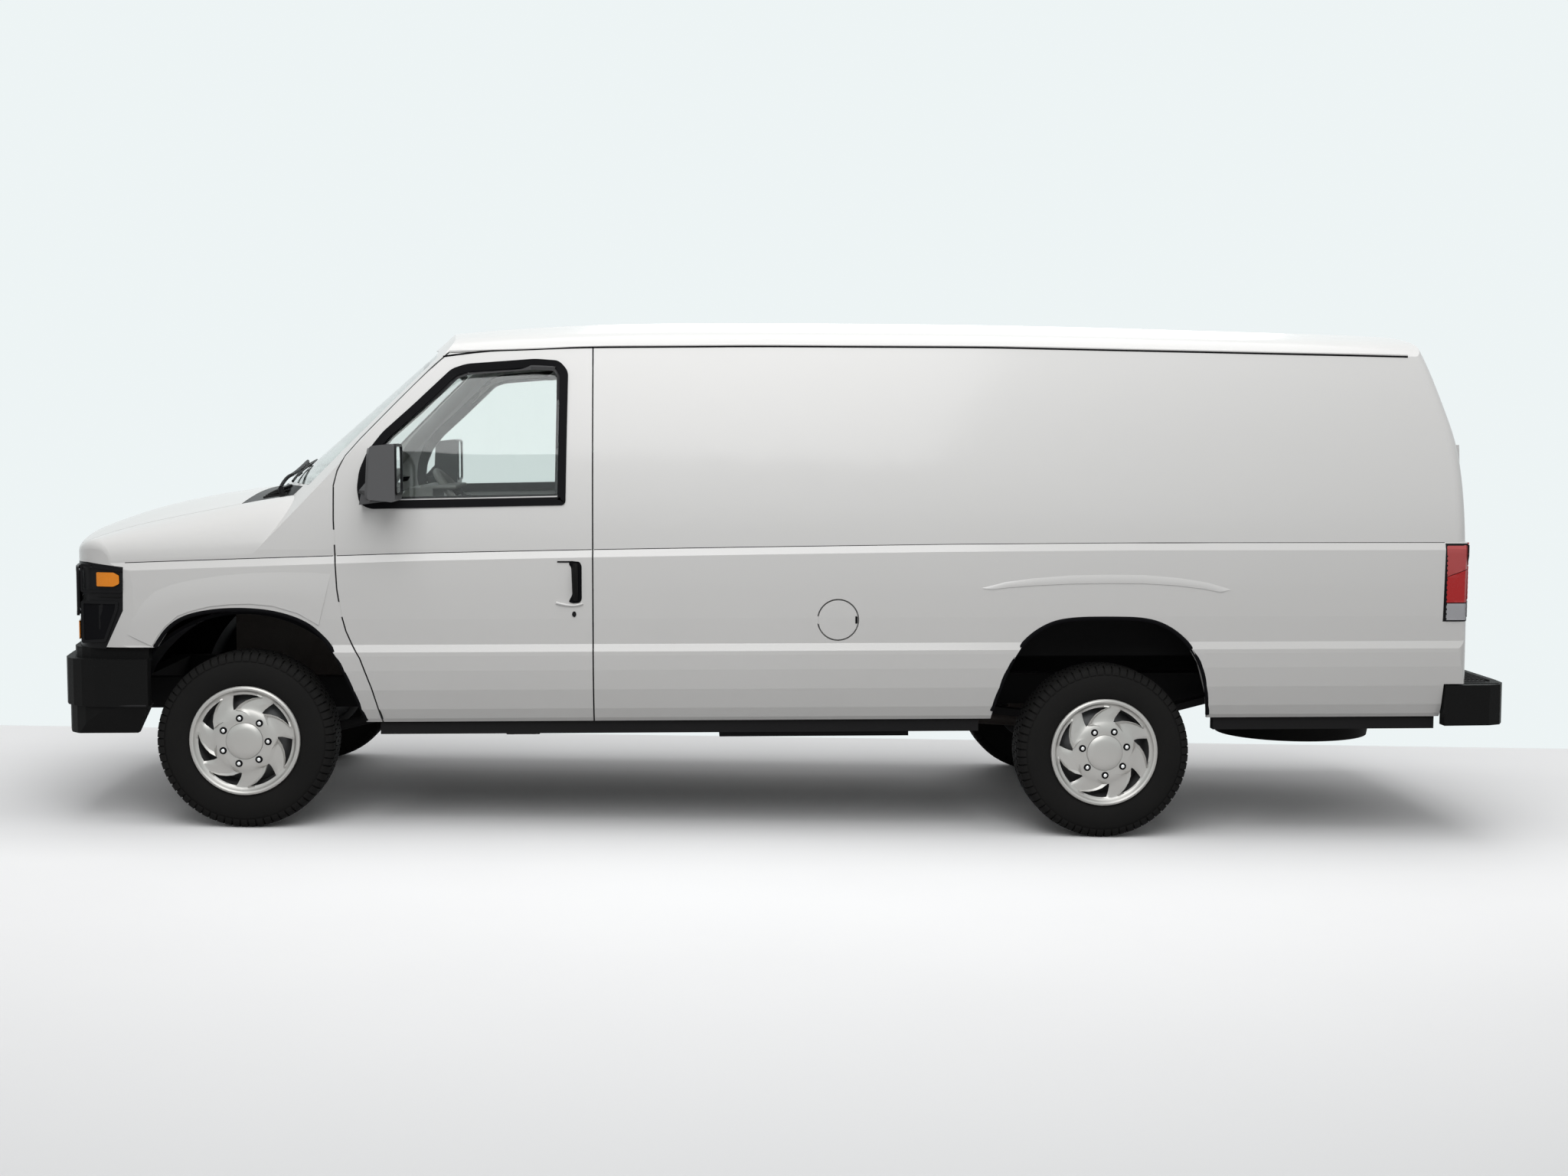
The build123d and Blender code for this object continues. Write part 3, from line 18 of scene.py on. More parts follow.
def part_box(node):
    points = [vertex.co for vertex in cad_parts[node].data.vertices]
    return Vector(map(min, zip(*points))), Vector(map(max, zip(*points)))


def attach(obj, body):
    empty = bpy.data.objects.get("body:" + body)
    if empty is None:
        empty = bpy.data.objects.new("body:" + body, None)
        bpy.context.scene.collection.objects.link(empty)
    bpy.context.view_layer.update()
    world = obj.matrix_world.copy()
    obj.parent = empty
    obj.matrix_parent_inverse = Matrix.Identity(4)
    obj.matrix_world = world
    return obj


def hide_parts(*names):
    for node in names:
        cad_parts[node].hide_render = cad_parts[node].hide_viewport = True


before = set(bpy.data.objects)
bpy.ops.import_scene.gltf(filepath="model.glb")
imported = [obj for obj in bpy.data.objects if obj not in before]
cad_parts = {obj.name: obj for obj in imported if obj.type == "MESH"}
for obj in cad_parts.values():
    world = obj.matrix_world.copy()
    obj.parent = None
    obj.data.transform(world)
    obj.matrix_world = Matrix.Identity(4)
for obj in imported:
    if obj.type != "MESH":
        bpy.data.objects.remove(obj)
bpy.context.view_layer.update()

# %% [markdown]
# The body leans a little nose-down on its springs, while the wheels stand square on the floor.
# Drawing the body's details level is easier, so `at` takes a place counted from the front axle
# on the level body and tips it into the scene.

# %% Axles and the body's tilt
front_low, front_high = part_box("tyre_front_left")
rear_low, rear_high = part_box("tyre_rear_left")
AXLE = (front_low.x + front_high.x) / 2
REAR = (rear_low.x + rear_high.x) / 2 - AXLE
HUB_Z = (front_low.z + front_high.z) / 2
RAKE = math.radians(1.2)
TILT = Matrix.Translation((AXLE, 0, 0)) @ Matrix.Rotation(-RAKE, 4, "Y")
LEVEL = TILT.inverted()


def at(x, y, z):
    """A place on the level body, x behind the front axle, as a point in the scene."""
    return TILT @ Vector((x, y, z))


low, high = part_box("rear_door_left")
TAIL = (LEVEL @ Vector((high.x, 0, 0.9))).x
low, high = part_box("front_door_left")
DOOR_REAR = (LEVEL @ Vector((high.x, 0, 0.43))).x + 0.003
HALF = max(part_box("body_side_right")[1].y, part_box("side_door_front")[1].y)
print("wheelbase", round(REAR, 3), "tail", round(TAIL, 3), "door edge", round(DOOR_REAR, 3))

# %% [markdown]
# ## Camera, floor and light
#
# The camera stands well back at eye height, so the flank shows little perspective. It looks
# slightly down, is turned a touch towards the tail and is rolled by about a degree.

# %% Camera
scene = bpy.context.scene
YAW, PITCH, ROLL = (math.radians(angle) for angle in (2.71, 4.40, 1.26))
VIEW_FROM = Vector((AXLE + 1.76, -9.548, 1.676))
LENS_MM, SENSOR_MM = 48.57, 36.0
ahead = Vector(
    (math.sin(YAW) * math.cos(PITCH), math.cos(YAW) * math.cos(PITCH), -math.sin(PITCH))
)
level_right = Vector((math.cos(YAW), -math.sin(YAW), 0))
level_up = level_right.cross(ahead)
right = level_right * math.cos(ROLL) + level_up * math.sin(ROLL)
up = level_up * math.cos(ROLL) - level_right * math.sin(ROLL)
camera = bpy.data.objects.new("camera", bpy.data.cameras.new("camera"))
camera.data.lens = LENS_MM
camera.data.sensor_width = SENSOR_MM
turn = Matrix((right, up, -ahead)).transposed()
camera.matrix_world = Matrix.Translation(VIEW_FROM) @ turn.to_4x4()
scene.collection.objects.link(camera)
scene.camera = camera
scene.view_settings.view_transform = "Standard"
print("camera", [round(v, 3) for v in VIEW_FROM])

# %% [markdown]
# The pale background is the world itself, which shows its own colour only to the camera, to
# mirrors and through glass. Everything else is lit by a plainer, dimmer sky, so the background
# can be nearly white without washing out the paint.


# %% World and sky
BACKDROP = (0.85, 0.905, 0.91, 1)
SKY_STRENGTH = 0.46


def link(tree, source, target):
    """Joins an output socket to an input socket."""
    tree.links.new(source, target)


def add_math(group, kind, first, second):
    """A Math node on two sockets or plain numbers."""
    node = group.nodes.new("ShaderNodeMath")
    node.operation = kind
    for socket, value in zip(node.inputs, (first, second)):
        if hasattr(value, "links"):
            link(group, value, socket)
        else:
            socket.default_value = value
    return node.outputs[0]


def build_world():
    """The pale backdrop where it is seen directly, and a plain dimmer sky for the light."""
    world = bpy.data.worlds.new("studio")
    scene.world = world
    world.use_nodes = True
    tree = world.node_tree
    tree.nodes.clear()
    out = tree.nodes.new("ShaderNodeOutputWorld")
    mix = tree.nodes.new("ShaderNodeMixShader")
    seen = tree.nodes.new("ShaderNodeBackground")
    sky = tree.nodes.new("ShaderNodeBackground")
    seen.inputs["Color"].default_value = BACKDROP
    sky.inputs["Color"].default_value = (1.0, 1.0, 1.0, 1)
    sky.inputs["Strength"].default_value = SKY_STRENGTH
    path = tree.nodes.new("ShaderNodeLightPath")
    direct = add_math(tree, "MAXIMUM", path.outputs["Is Camera Ray"], path.outputs["Is Glossy Ray"])
    shown = add_math(tree, "MAXIMUM", direct, path.outputs["Is Transmission Ray"])
    link(tree, shown, mix.inputs["Fac"])
    link(tree, sky.outputs[0], mix.inputs[1])
    link(tree, seen.outputs[0], mix.inputs[2])
    link(tree, mix.outputs[0], out.inputs["Surface"])


build_world()
print("world ready")


# %% Lamps
def soft_lamp(name, place, aim, size, watts):
    """A large square area lamp that points from place to aim."""
    data = bpy.data.lights.new(name, "AREA")
    data.size = size
    data.energy = watts
    lamp = bpy.data.objects.new(name, data)
    lamp.location = place
    lamp.rotation_mode = "QUATERNION"
    lamp.rotation_quaternion = (Vector(aim) - Vector(place)).to_track_quat("-Z", "Y")
    scene.collection.objects.link(lamp)


soft_lamp("overhead", (0.4, -1.0, 7.0), (0.3, 0.2, 1.0), 8.0, 265)
soft_lamp("near_side", (-1.0, -8.0, 6.8), (0.2, 0.0, 1.3), 6.0, 330)
soft_lamp("far_side", (1.5, 8.0, 5.0), (0.0, 0.0, 1.2), 6.0, 110)
print("lamps", len(bpy.data.lights))

# %% [markdown]
# ## Finishes
#
# Three effects recur here: fine moulded grain, slow drifts of tone, and a painted shade that
# greys the paint towards the ground. Each is a node group, so a material states only its amounts.


# %% Node group: moulded grain
def new_group(name, inputs, outputs):
    """An empty shader group with named number, colour and vector sockets."""
    group = bpy.data.node_groups.new(name, "ShaderNodeTree")
    kinds = {"f": "NodeSocketFloat", "c": "NodeSocketColor", "v": "NodeSocketVector"}
    for label, kind in inputs:
        group.interface.new_socket(label, in_out="INPUT", socket_type=kinds[kind])
    for label, kind in outputs:
        group.interface.new_socket(label, in_out="OUTPUT", socket_type=kinds[kind])
    return group, group.nodes.new("NodeGroupInput"), group.nodes.new("NodeGroupOutput")


def build_grain():
    """Small cells broken up by noise, as a bump and as a mask of its pits."""
    group, ins, outs = new_group(
        "moulded grain", [("Scale", "f"), ("Depth", "f")], [("Normal", "v"), ("Pits", "f")]
    )
    place = group.nodes.new("ShaderNodeTexCoord")
    cells = group.nodes.new("ShaderNodeTexVoronoi")
    noise = group.nodes.new("ShaderNodeTexNoise")
    noise.inputs["Detail"].default_value = 3.0
    bump = group.nodes.new("ShaderNodeBump")
    bump.inputs["Distance"].default_value = 0.002
    link(group, place.outputs["Object"], cells.inputs["Vector"])
    link(group, place.outputs["Object"], noise.inputs["Vector"])
    link(group, ins.outputs["Scale"], cells.inputs["Scale"])
    link(group, ins.outputs["Scale"], noise.inputs["Scale"])
    height = add_math(group, "MULTIPLY", cells.outputs["Distance"], noise.outputs["Fac"])
    link(group, height, bump.inputs["Height"])
    link(group, ins.outputs["Depth"], bump.inputs["Strength"])
    link(group, bump.outputs["Normal"], outs.inputs["Normal"])
    link(group, height, outs.inputs["Pits"])
    return group


GRAIN = build_grain()
print("group", GRAIN.name)


# %% Node group: drifting tone
def mix_colour(group, factor, first, second):
    """A colour Mix node on sockets or plain values."""
    node = group.nodes.new("ShaderNodeMix")
    node.data_type = "RGBA"
    for socket, value in zip((node.inputs[0], node.inputs[6], node.inputs[7]), (factor, first, second)):
        if hasattr(value, "links"):
            link(group, value, socket)
        else:
            socket.default_value = value
    return node.outputs[2]


def build_tone():
    """A colour that drifts slowly towards its shade."""
    group, ins, outs = new_group(
        "drifting tone",
        [("Colour", "c"), ("Shade", "c"), ("Scale", "f"), ("Amount", "f")],
        [("Colour", "c"), ("Drift", "f")],
    )
    place = group.nodes.new("ShaderNodeTexCoord")
    noise = group.nodes.new("ShaderNodeTexNoise")
    noise.inputs["Detail"].default_value = 4.0
    link(group, place.outputs["Object"], noise.inputs["Vector"])
    link(group, ins.outputs["Scale"], noise.inputs["Scale"])
    drift = add_math(group, "MULTIPLY", noise.outputs["Fac"], ins.outputs["Amount"])
    colour = mix_colour(group, drift, ins.outputs["Colour"], ins.outputs["Shade"])
    link(group, colour, outs.inputs["Colour"])
    link(group, drift, outs.inputs["Drift"])
    return group


TONE = build_tone()
print("group", TONE.name)


# %% Node group: painted lower shade
def build_lower_shade():
    """Painted shade that darkens the colour from the height Top down to the ground."""
    group, ins, outs = new_group(
        "painted lower shade",
        [("Colour", "c"), ("Shade grey", "c"), ("Top", "f"), ("Amount", "f")],
        [("Colour", "c"), ("Mask", "f")],
    )
    place = group.nodes.new("ShaderNodeTexCoord")
    parts = group.nodes.new("ShaderNodeSeparateXYZ")
    noise = group.nodes.new("ShaderNodeTexNoise")
    noise.inputs["Scale"].default_value = 2.5
    noise.inputs["Detail"].default_value = 5.0
    link(group, place.outputs["Object"], parts.inputs[0])
    link(group, place.outputs["Object"], noise.inputs["Vector"])
    # painted shade: the colour turns towards the grey from the height Top down to the ground
    below = add_math(group, "DIVIDE", parts.outputs["Z"], ins.outputs["Top"])
    depth = add_math(group, "SUBTRACT", 1.0, below)
    clipped = add_math(group, "MAXIMUM", depth, 0.0)
    rough = add_math(group, "ADD", add_math(group, "MULTIPLY", noise.outputs["Fac"], 0.35), 0.8)
    mask = add_math(group, "MULTIPLY", clipped, rough)
    mask = add_math(group, "MINIMUM", add_math(group, "MULTIPLY", mask, ins.outputs["Amount"]), 1.0)
    colour = mix_colour(group, mask, ins.outputs["Colour"], ins.outputs["Shade grey"])
    link(group, colour, outs.inputs["Colour"])
    link(group, mask, outs.inputs["Mask"])
    return group


LOWER_SHADE = build_lower_shade()
print("group", LOWER_SHADE.name)


# %% A finish from a colour and the three effects
def finish(name, colour, rough, shade=None, tone=(3.0, 0.3), grain=None, lower_shade=None, **sockets):
    """A material whose colour drifts, and which may carry grain and painted shade towards the ground."""
    material = bpy.data.materials.new(name)
    material.use_nodes = True
    tree = material.node_tree
    shader = tree.nodes["Principled BSDF"]
    for label, value in sockets.items():
        shader.inputs[label.replace("_", " ")].default_value = value
    step = tree.nodes.new("ShaderNodeGroup")
    step.node_tree = TONE
    step.inputs["Colour"].default_value = (*colour, 1)
    step.inputs["Shade"].default_value = (*(shade or [0.8 * part for part in colour]), 1)
    step.inputs["Scale"].default_value = tone[0]
    step.inputs["Amount"].default_value = tone[1]
    roughness = tree.nodes.new("ShaderNodeMapRange")
    roughness.inputs["To Min"].default_value = rough
    roughness.inputs["To Max"].default_value = min(1.0, rough * 1.35 + 0.02)
    link(tree, step.outputs["Drift"], roughness.inputs["Value"])
    link(tree, roughness.outputs[0], shader.inputs["Roughness"])
    result = step.outputs["Colour"]
    # painted shade that greys the colour towards the ground
    if lower_shade:
        lower_shade_node = tree.nodes.new("ShaderNodeGroup")
        lower_shade_node.node_tree = LOWER_SHADE
        lower_shade_node.inputs["Shade grey"].default_value = (*lower_shade[0], 1)
        lower_shade_node.inputs["Top"].default_value = lower_shade[1]
        lower_shade_node.inputs["Amount"].default_value = lower_shade[2]
        link(tree, result, lower_shade_node.inputs["Colour"])
        result = lower_shade_node.outputs["Colour"]
    link(tree, result, shader.inputs["Base Color"])
    if grain:
        pits = tree.nodes.new("ShaderNodeGroup")
        pits.node_tree = GRAIN
        pits.inputs["Scale"].default_value = grain[0]
        pits.inputs["Depth"].default_value = grain[1]
        link(tree, pits.outputs["Normal"], shader.inputs["Normal"])
    return material


def plain_glass(name, colour, rough=0.02):
    """Clear glass or lens plastic with a faint drift of tone."""
    material = finish(name, colour, rough, tone=(1.5, 0.15))
    shader = material.node_tree.nodes["Principled BSDF"]
    shader.inputs["Transmission Weight"].default_value = 1.0
    shader.inputs["IOR"].default_value = 1.45
    return material


print("finish helpers ready")

# %% [markdown]
# The paint is an off-white enamel under clear coat. Its fine ripple, known as orange peel, is
# a grain of very low depth. Towards the ground a painted grey shade darkens it.

# %% Paint, plastics and rubber
LOWER_SHADE_GREY = (0.30, 0.295, 0.285)
white_paint = finish(
    "white_paint",
    (0.71, 0.705, 0.695),
    0.33,
    shade=(0.66, 0.655, 0.64),
    tone=(0.8, 0.25),
    grain=(260.0, 0.02),
    # painted shade: the paint greys from 1.35 m down to the sills
    lower_shade=(LOWER_SHADE_GREY, 1.35, 0.42),
    Coat_Weight=0.5,
    Coat_Roughness=0.12,
)
DULL = {"Specular_IOR_Level": 0.06}
bumper_plastic = finish(
    "bumper_plastic", (0.009, 0.009, 0.009), 0.48, grain=(420.0, 0.35), tone=(5.0, 0.4), **DULL
)
step_grey = finish("step_grey", (0.030, 0.030, 0.031), 0.6, grain=(300.0, 0.3), tone=(8.0, 0.4), **DULL)
mirror_grey = finish("mirror_grey", (0.085, 0.085, 0.088), 0.42, grain=(420.0, 0.15))
black_trim = finish("black_trim", (0.014, 0.014, 0.015), 0.32, grain=(600.0, 0.08), **DULL)
seal_rubber = finish("seal_rubber", (0.008, 0.008, 0.009), 0.6, grain=(500.0, 0.12), **DULL)
tyre_rubber = finish(
    "tyre_rubber",
    (0.010, 0.010, 0.010),
    0.62,
    shade=(0.022, 0.021, 0.020),
    grain=(350.0, 0.2),
    tone=(6.0, 0.6),
    **DULL,
)
gap_black = finish("gap_black", (0.005, 0.005, 0.006), 0.75, **DULL)
print("body finishes ready")

# %% Metals
cover_silver = finish(
    "cover_silver", (0.50, 0.49, 0.47), 0.32, shade=(0.42, 0.41, 0.39), Metallic=0.55, tone=(9.0, 0.3)
)
chrome = finish("chrome", (0.82, 0.82, 0.82), 0.08, Metallic=1.0, tone=(12.0, 0.1))
wheel_steel = finish("wheel_steel", (0.12, 0.12, 0.122), 0.42, Metallic=0.5, grain=(200.0, 0.06))
chassis_black = finish(
    "chassis_black", (0.015, 0.015, 0.016), 0.6, shade=(0.03, 0.028, 0.026), grain=(150.0, 0.1), **DULL
)
cast_iron = finish(
    "cast_iron", (0.06, 0.055, 0.052), 0.6, shade=(0.11, 0.07, 0.045), grain=(180.0, 0.4), Metallic=0.4
)
exhaust_steel = finish(
    "exhaust_steel", (0.30, 0.28, 0.26), 0.38, shade=(0.20, 0.13, 0.09), Metallic=0.9, tone=(7.0, 0.6)
)
print("metals ready")

# %% Lamps, glass and cab
clear_glass = plain_glass("clear_glass", (0.86, 0.90, 0.885))
amber_lens = finish("amber_lens", (0.95, 0.29, 0.006), 0.25, Coat_Weight=0.2, tone=(30.0, 0.5))
red_lens = finish("red_lens", (0.46, 0.006, 0.007), 0.25, Coat_Weight=0.2, tone=(20.0, 0.4))
pink_lens = finish("pink_lens", (0.46, 0.060, 0.060), 0.28, Coat_Weight=0.2, tone=(20.0, 0.4))
reverse_lens = finish("reverse_lens", (0.40, 0.40, 0.42), 0.16, Coat_Weight=0.6, tone=(20.0, 0.5))
head_lens = plain_glass("head_lens", (0.93, 0.95, 0.96), 0.04)
reflector = finish("reflector", (0.78, 0.78, 0.79), 0.12, Metallic=1.0, tone=(30.0, 0.2))
dash_grey = finish("dash_grey", (0.23, 0.225, 0.215), 0.55, grain=(380.0, 0.25))
pale_trim = finish("pale_trim", (0.42, 0.415, 0.40), 0.6, grain=(300.0, 0.2))
cab_mat = finish("cab_mat", (0.05, 0.05, 0.052), 0.85, grain=(240.0, 0.6))
seat_cloth = finish(
    "seat_cloth", (0.16, 0.158, 0.15), 0.9, shade=(0.11, 0.108, 0.10), grain=(900.0, 0.7), Sheen_Weight=0.3
)
mirror_face = finish("mirror_face", (0.8, 0.81, 0.82), 0.03, Metallic=1.0, tone=(2.0, 0.05))
print("finishes", len(bpy.data.materials))


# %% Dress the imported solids
def dress(material, *names):
    """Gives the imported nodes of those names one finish."""
    for name in names:
        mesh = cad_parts[name].data
        for index in range(max(1, len(mesh.materials))):
            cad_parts[name].material_slots[index].material = material


dress(white_paint, "body_side_left", "body_side_right", "roof_panel", "front_fenders")
dress(white_paint, "windshield_frame", "front_door_left", "front_door_right", "hood")
dress(white_paint, "side_door_front", "side_door_rear", "rear_door_left", "rear_door_right")
dress(white_paint, "fuel_door")
dress(bumper_plastic, "front_bumper", "rear_bumper")
dress(mirror_grey, "mirror_left", "mirror_right")
dress(black_trim, "cowl_panel", "grille", "headlamps", "tail_lamps")
dress(gap_black, "wheel_liners")
dress(chassis_black, "wheel_boxes", "floor_pan", "frame_rails", "crossmembers", "leaf_springs")
dress(chassis_black, "front_axle_beams", "fuel_tank")
dress(cast_iron, "engine", "driveshaft", "rear_axle", "knuckle_left", "knuckle_right")
dress(exhaust_steel, "exhaust")
dress(dash_grey, "dashboard", "engine_cover", "steering_wheel")
dress(cab_mat, "firewall")
dress(seat_cloth, "seats")
dress(clear_glass, "windshield", "door_glass_left", "door_glass_right")
dress(clear_glass, "rear_glass_left", "rear_glass_right")
dress(tyre_rubber, "spare_wheel", *[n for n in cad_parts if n.startswith("tyre_")])
dress(cover_silver, *["wheel_" + name for name in ("front_left", "front_right", "rear_left", "rear_right")])
print("nodes dressed", len(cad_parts))

# %% [markdown]
# ## Floor
#
# The floor ends a little way behind the van, where the pale backdrop begins. Seen directly it
# is almost white, with painted shade that turns it greyer towards the front, yet the light that
# it sends back up on to the sills is that of grey concrete.


# %% Floor
FLOOR_HALF = (60.0, 15.9)
FLOOR_MIDDLE = -14.15
FLOOR_SHADE_FROM, FLOOR_SHADE_FULL = -1.6, -5.4


def build_floor():
    """The floor sheet and its paint, kept apart from the object as part of the stage."""
    bm = bmesh.new()
    bmesh.ops.create_grid(bm, x_segments=1, y_segments=1, size=1.0)
    bmesh.ops.scale(bm, verts=bm.verts, vec=(*FLOOR_HALF, 1.0))
    bmesh.ops.translate(bm, verts=bm.verts, vec=(0, FLOOR_MIDDLE, 0))
    mesh = bpy.data.meshes.new("floor")
    bm.to_mesh(mesh)
    bm.free()
    floor = bpy.data.objects.new("floor", mesh)
    scene.collection.objects.link(floor)
    material = finish("floor_paint", (0.97, 0.975, 0.98), 0.9, shade=(0.88, 0.88, 0.89), tone=(1.1, 0.5))
    tree = material.node_tree
    place = tree.nodes.new("ShaderNodeTexCoord")
    parts = tree.nodes.new("ShaderNodeSeparateXYZ")
    # painted shade: the floor greys between these two Y places towards the front
    nearness = tree.nodes.new("ShaderNodeMapRange")
    nearness.inputs["From Min"].default_value = FLOOR_SHADE_FROM
    nearness.inputs["From Max"].default_value = FLOOR_SHADE_FULL
    link(tree, place.outputs["Object"], parts.inputs[0])
    link(tree, parts.outputs["Y"], nearness.inputs["Value"])
    for node in tree.nodes:
        if node.type == "GROUP":
            near = mix_colour(tree, nearness.outputs[0], node.outputs["Colour"], (0.60, 0.605, 0.61, 1))
            link(tree, near, tree.nodes["Principled BSDF"].inputs["Base Color"])
    shader = tree.nodes["Principled BSDF"]
    dim = tree.nodes.new("ShaderNodeBsdfDiffuse")
    dim.inputs["Color"].default_value = (0.30, 0.30, 0.30, 1)
    mix = tree.nodes.new("ShaderNodeMixShader")
    path = tree.nodes.new("ShaderNodeLightPath")
    link(tree, path.outputs["Is Diffuse Ray"], mix.inputs["Fac"])
    link(tree, shader.outputs[0], mix.inputs[1])
    link(tree, dim.outputs[0], mix.inputs[2])
    link(tree, mix.outputs[0], tree.nodes["Material Output"].inputs["Surface"])
    mesh.materials.append(material)


build_floor()
print("floor ready")

# %% [markdown]
# ## Making pieces
#
# Most added pieces start in a bmesh as an outline or a simple solid and are then bent on to the
# packed panels. A ray from outside finds the panel under each point, so a seal or a lens
# follows the curve of the body by itself.

# %% Skins and directions
INWARD = {
    "left": Vector((0, 1, 0)),
    "right": Vector((0, -1, 0)),
    "front": Vector((1, 0, 0)),
    "rear": Vector((-1, 0, 0)),
    "top": Vector((0, 0, -1)),
}


def skin_of(*names):
    """A search tree over the faces of the named nodes."""
    verts, faces = [], []
    for name in names:
        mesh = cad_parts[name].data
        start = len(verts)
        verts += [vert.co.copy() for vert in mesh.vertices]
        faces += [[start + index for index in face.vertices] for face in mesh.polygons]
    return BVHTree.FromPolygons(verts, faces)


def settle(bm, skin, way, lift, drop):
    """Moves each point along way on to the skin, then back out by lift. Where the skin has a
    hole, the point takes the depth of the nearest skin instead."""
    found = []
    for vert in bm.verts:
        hit = skin.ray_cast(vert.co - way * 4, way)[0]
        found.append((vert, hit))
    depths = sorted(hit.dot(way) for vert, hit in found if hit)
    usual = depths[len(depths) // 3]
    for vert, hit in found:
        depth = hit.dot(way) if hit else math.inf
        if depth > usual + drop:
            near = skin.find_nearest(vert.co + way * (usual - vert.co.dot(way)))[0]
            depth = near.dot(way)
        vert.co += way * (depth - lift - vert.co.dot(way))


def cut_grid(bm, way, step):
    """Cuts every face on a grid of planes, so that it can bend."""
    for axis in range(3):
        if abs(way[axis]) > 0.5:
            continue
        normal = Vector([float(index == axis) for index in range(3)])
        values = [vert.co[axis] for vert in bm.verts]
        place = math.ceil(min(values) / step) * step
        while place < max(values) - 1e-4:
            geom = bm.verts[:] + bm.edges[:] + bm.faces[:]
            bmesh.ops.bisect_plane(bm, geom=geom, plane_co=normal * place, plane_no=normal)
            place += step


def thicken(bm, way, thick):
    """Raises a sheet into a closed plate."""
    made = bmesh.ops.extrude_face_region(bm, geom=bm.faces[:])
    top = [item for item in made["geom"] if isinstance(item, bmesh.types.BMVert)]
    bmesh.ops.translate(bm, verts=top, vec=-way * thick)


def plate(points, way, skin, lift, thick, corner=0.0, step=0.08, ring=0.0, drop=0.03):
    """A thin plate with that outline laid on the skin, or only its border where ring is given."""
    way = INWARD[way]
    bm = bmesh.new()
    bm.faces.new([bm.verts.new(point) for point in points])
    if corner:
        bmesh.ops.bevel(
            bm,
            geom=bm.verts[:],
            offset=corner,
            segments=4,
            profile=0.5,
            affect="VERTICES",
            material=-1,
            clamp_overlap=True,
        )
    if ring:
        middle = bm.faces[:]
        bmesh.ops.inset_region(
            bm, faces=middle, thickness=ring, use_even_offset=True, use_boundary=True
        )
        bmesh.ops.delete(bm, geom=middle, context="FACES")
    cut_grid(bm, way, step)
    settle(bm, skin, way, lift, drop)
    thicken(bm, way, thick)
    return bm


print("plates ready")


# %% Solid helpers
BODY_TURN = TILT.to_3x3().to_4x4()


def add_box(bm, centre, size, bevel, turn=None):
    """A box with rounded edges, level with the body unless it is turned."""
    matrix = Matrix.Translation(centre) @ (turn or BODY_TURN) @ Matrix.Diagonal((*size, 1))
    made = bmesh.ops.create_cube(bm, size=1.0, matrix=matrix)
    edges = list({edge for vert in made["verts"] for edge in vert.link_edges})
    bmesh.ops.bevel(
        bm,
        geom=edges,
        offset=bevel,
        segments=2,
        profile=0.5,
        affect="EDGES",
        material=-1,
    )


def add_rod(bm, start, end, radius, tip=None, segments=24):
    """A round rod, or a taper where tip gives the far radius."""
    start, end = Vector(start), Vector(end)
    turn = (end - start).to_track_quat("Z", "Y").to_matrix().to_4x4()
    bmesh.ops.create_cone(
        bm,
        cap_ends=True,
        segments=segments,
        radius1=radius,
        radius2=radius if tip is None else tip,
        depth=(end - start).length,
        matrix=Matrix.Translation((start + end) / 2) @ turn,
    )


def add_tube(bm, points, radius, closed=False):
    """A round bead that follows the points."""
    curve = bpy.data.curves.new("route", "CURVE")
    curve.dimensions = "3D"
    curve.bevel_depth = radius
    curve.bevel_resolution = 2
    curve.use_fill_caps = True
    spline = curve.splines.new("NURBS")
    spline.points.add(len(points) - 1)
    for slot, point in zip(spline.points, points):
        slot.co = (*point, 1)
    spline.use_cyclic_u = closed
    spline.order_u = 3
    spline.use_endpoint_u = not closed
    spline.resolution_u = 6
    holder = bpy.data.objects.new("route", curve)
    mesh = bpy.data.meshes.new_from_object(holder)
    bm.from_mesh(mesh)
    bpy.data.objects.remove(holder)
    bpy.data.meshes.remove(mesh)
    bpy.data.curves.remove(curve)
    bmesh.ops.remove_doubles(bm, verts=bm.verts[:], dist=1e-5)


def spun(profile, steps):
    """A closed ring turned about Y from (radius, depth) points."""
    bm = bmesh.new()
    verts = [bm.verts.new((-radius, depth, 0)) for radius, depth in profile]
    edges = [bm.edges.new(pair) for pair in zip(verts, verts[1:])]
    bmesh.ops.spin(
        bm,
        geom=verts + edges,
        cent=(0, 0, 0),
        axis=(0, 1, 0),
        angle=math.tau,
        steps=steps,
        use_merge=True,
    )
    bmesh.ops.remove_doubles(bm, verts=bm.verts[:], dist=1e-5)
    return bm


def make_piece(name, bm, body, material, sharp=35.0):
    """Turns a finished bmesh into a piece that rides on a body."""
    bmesh.ops.recalc_face_normals(bm, faces=bm.faces[:])
    for edge in bm.edges:
        edge.smooth = edge.calc_face_angle(0.0) < math.radians(sharp)
    for face in bm.faces:
        face.smooth = True
    mesh = bpy.data.meshes.new(name)
    bm.to_mesh(mesh)
    bm.free()
    mesh.materials.append(material)
    piece = bpy.data.objects.new(name, mesh)
    scene.collection.objects.link(piece)
    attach(piece, body)
    return piece


def make_pair(name, bm, bodies, material, sharp=35.0):
    """The piece on the left, and its mirror image on the right."""
    twin = bm.copy()
    bmesh.ops.scale(twin, verts=twin.verts[:], vec=(1, -1, 1))
    left_body, right_body = bodies if isinstance(bodies, tuple) else (bodies, bodies)
    left = make_piece(name + "_left", bm, left_body, material, sharp)
    return left, make_piece(name + "_right", twin, right_body, material, sharp)


print("solid helpers ready")

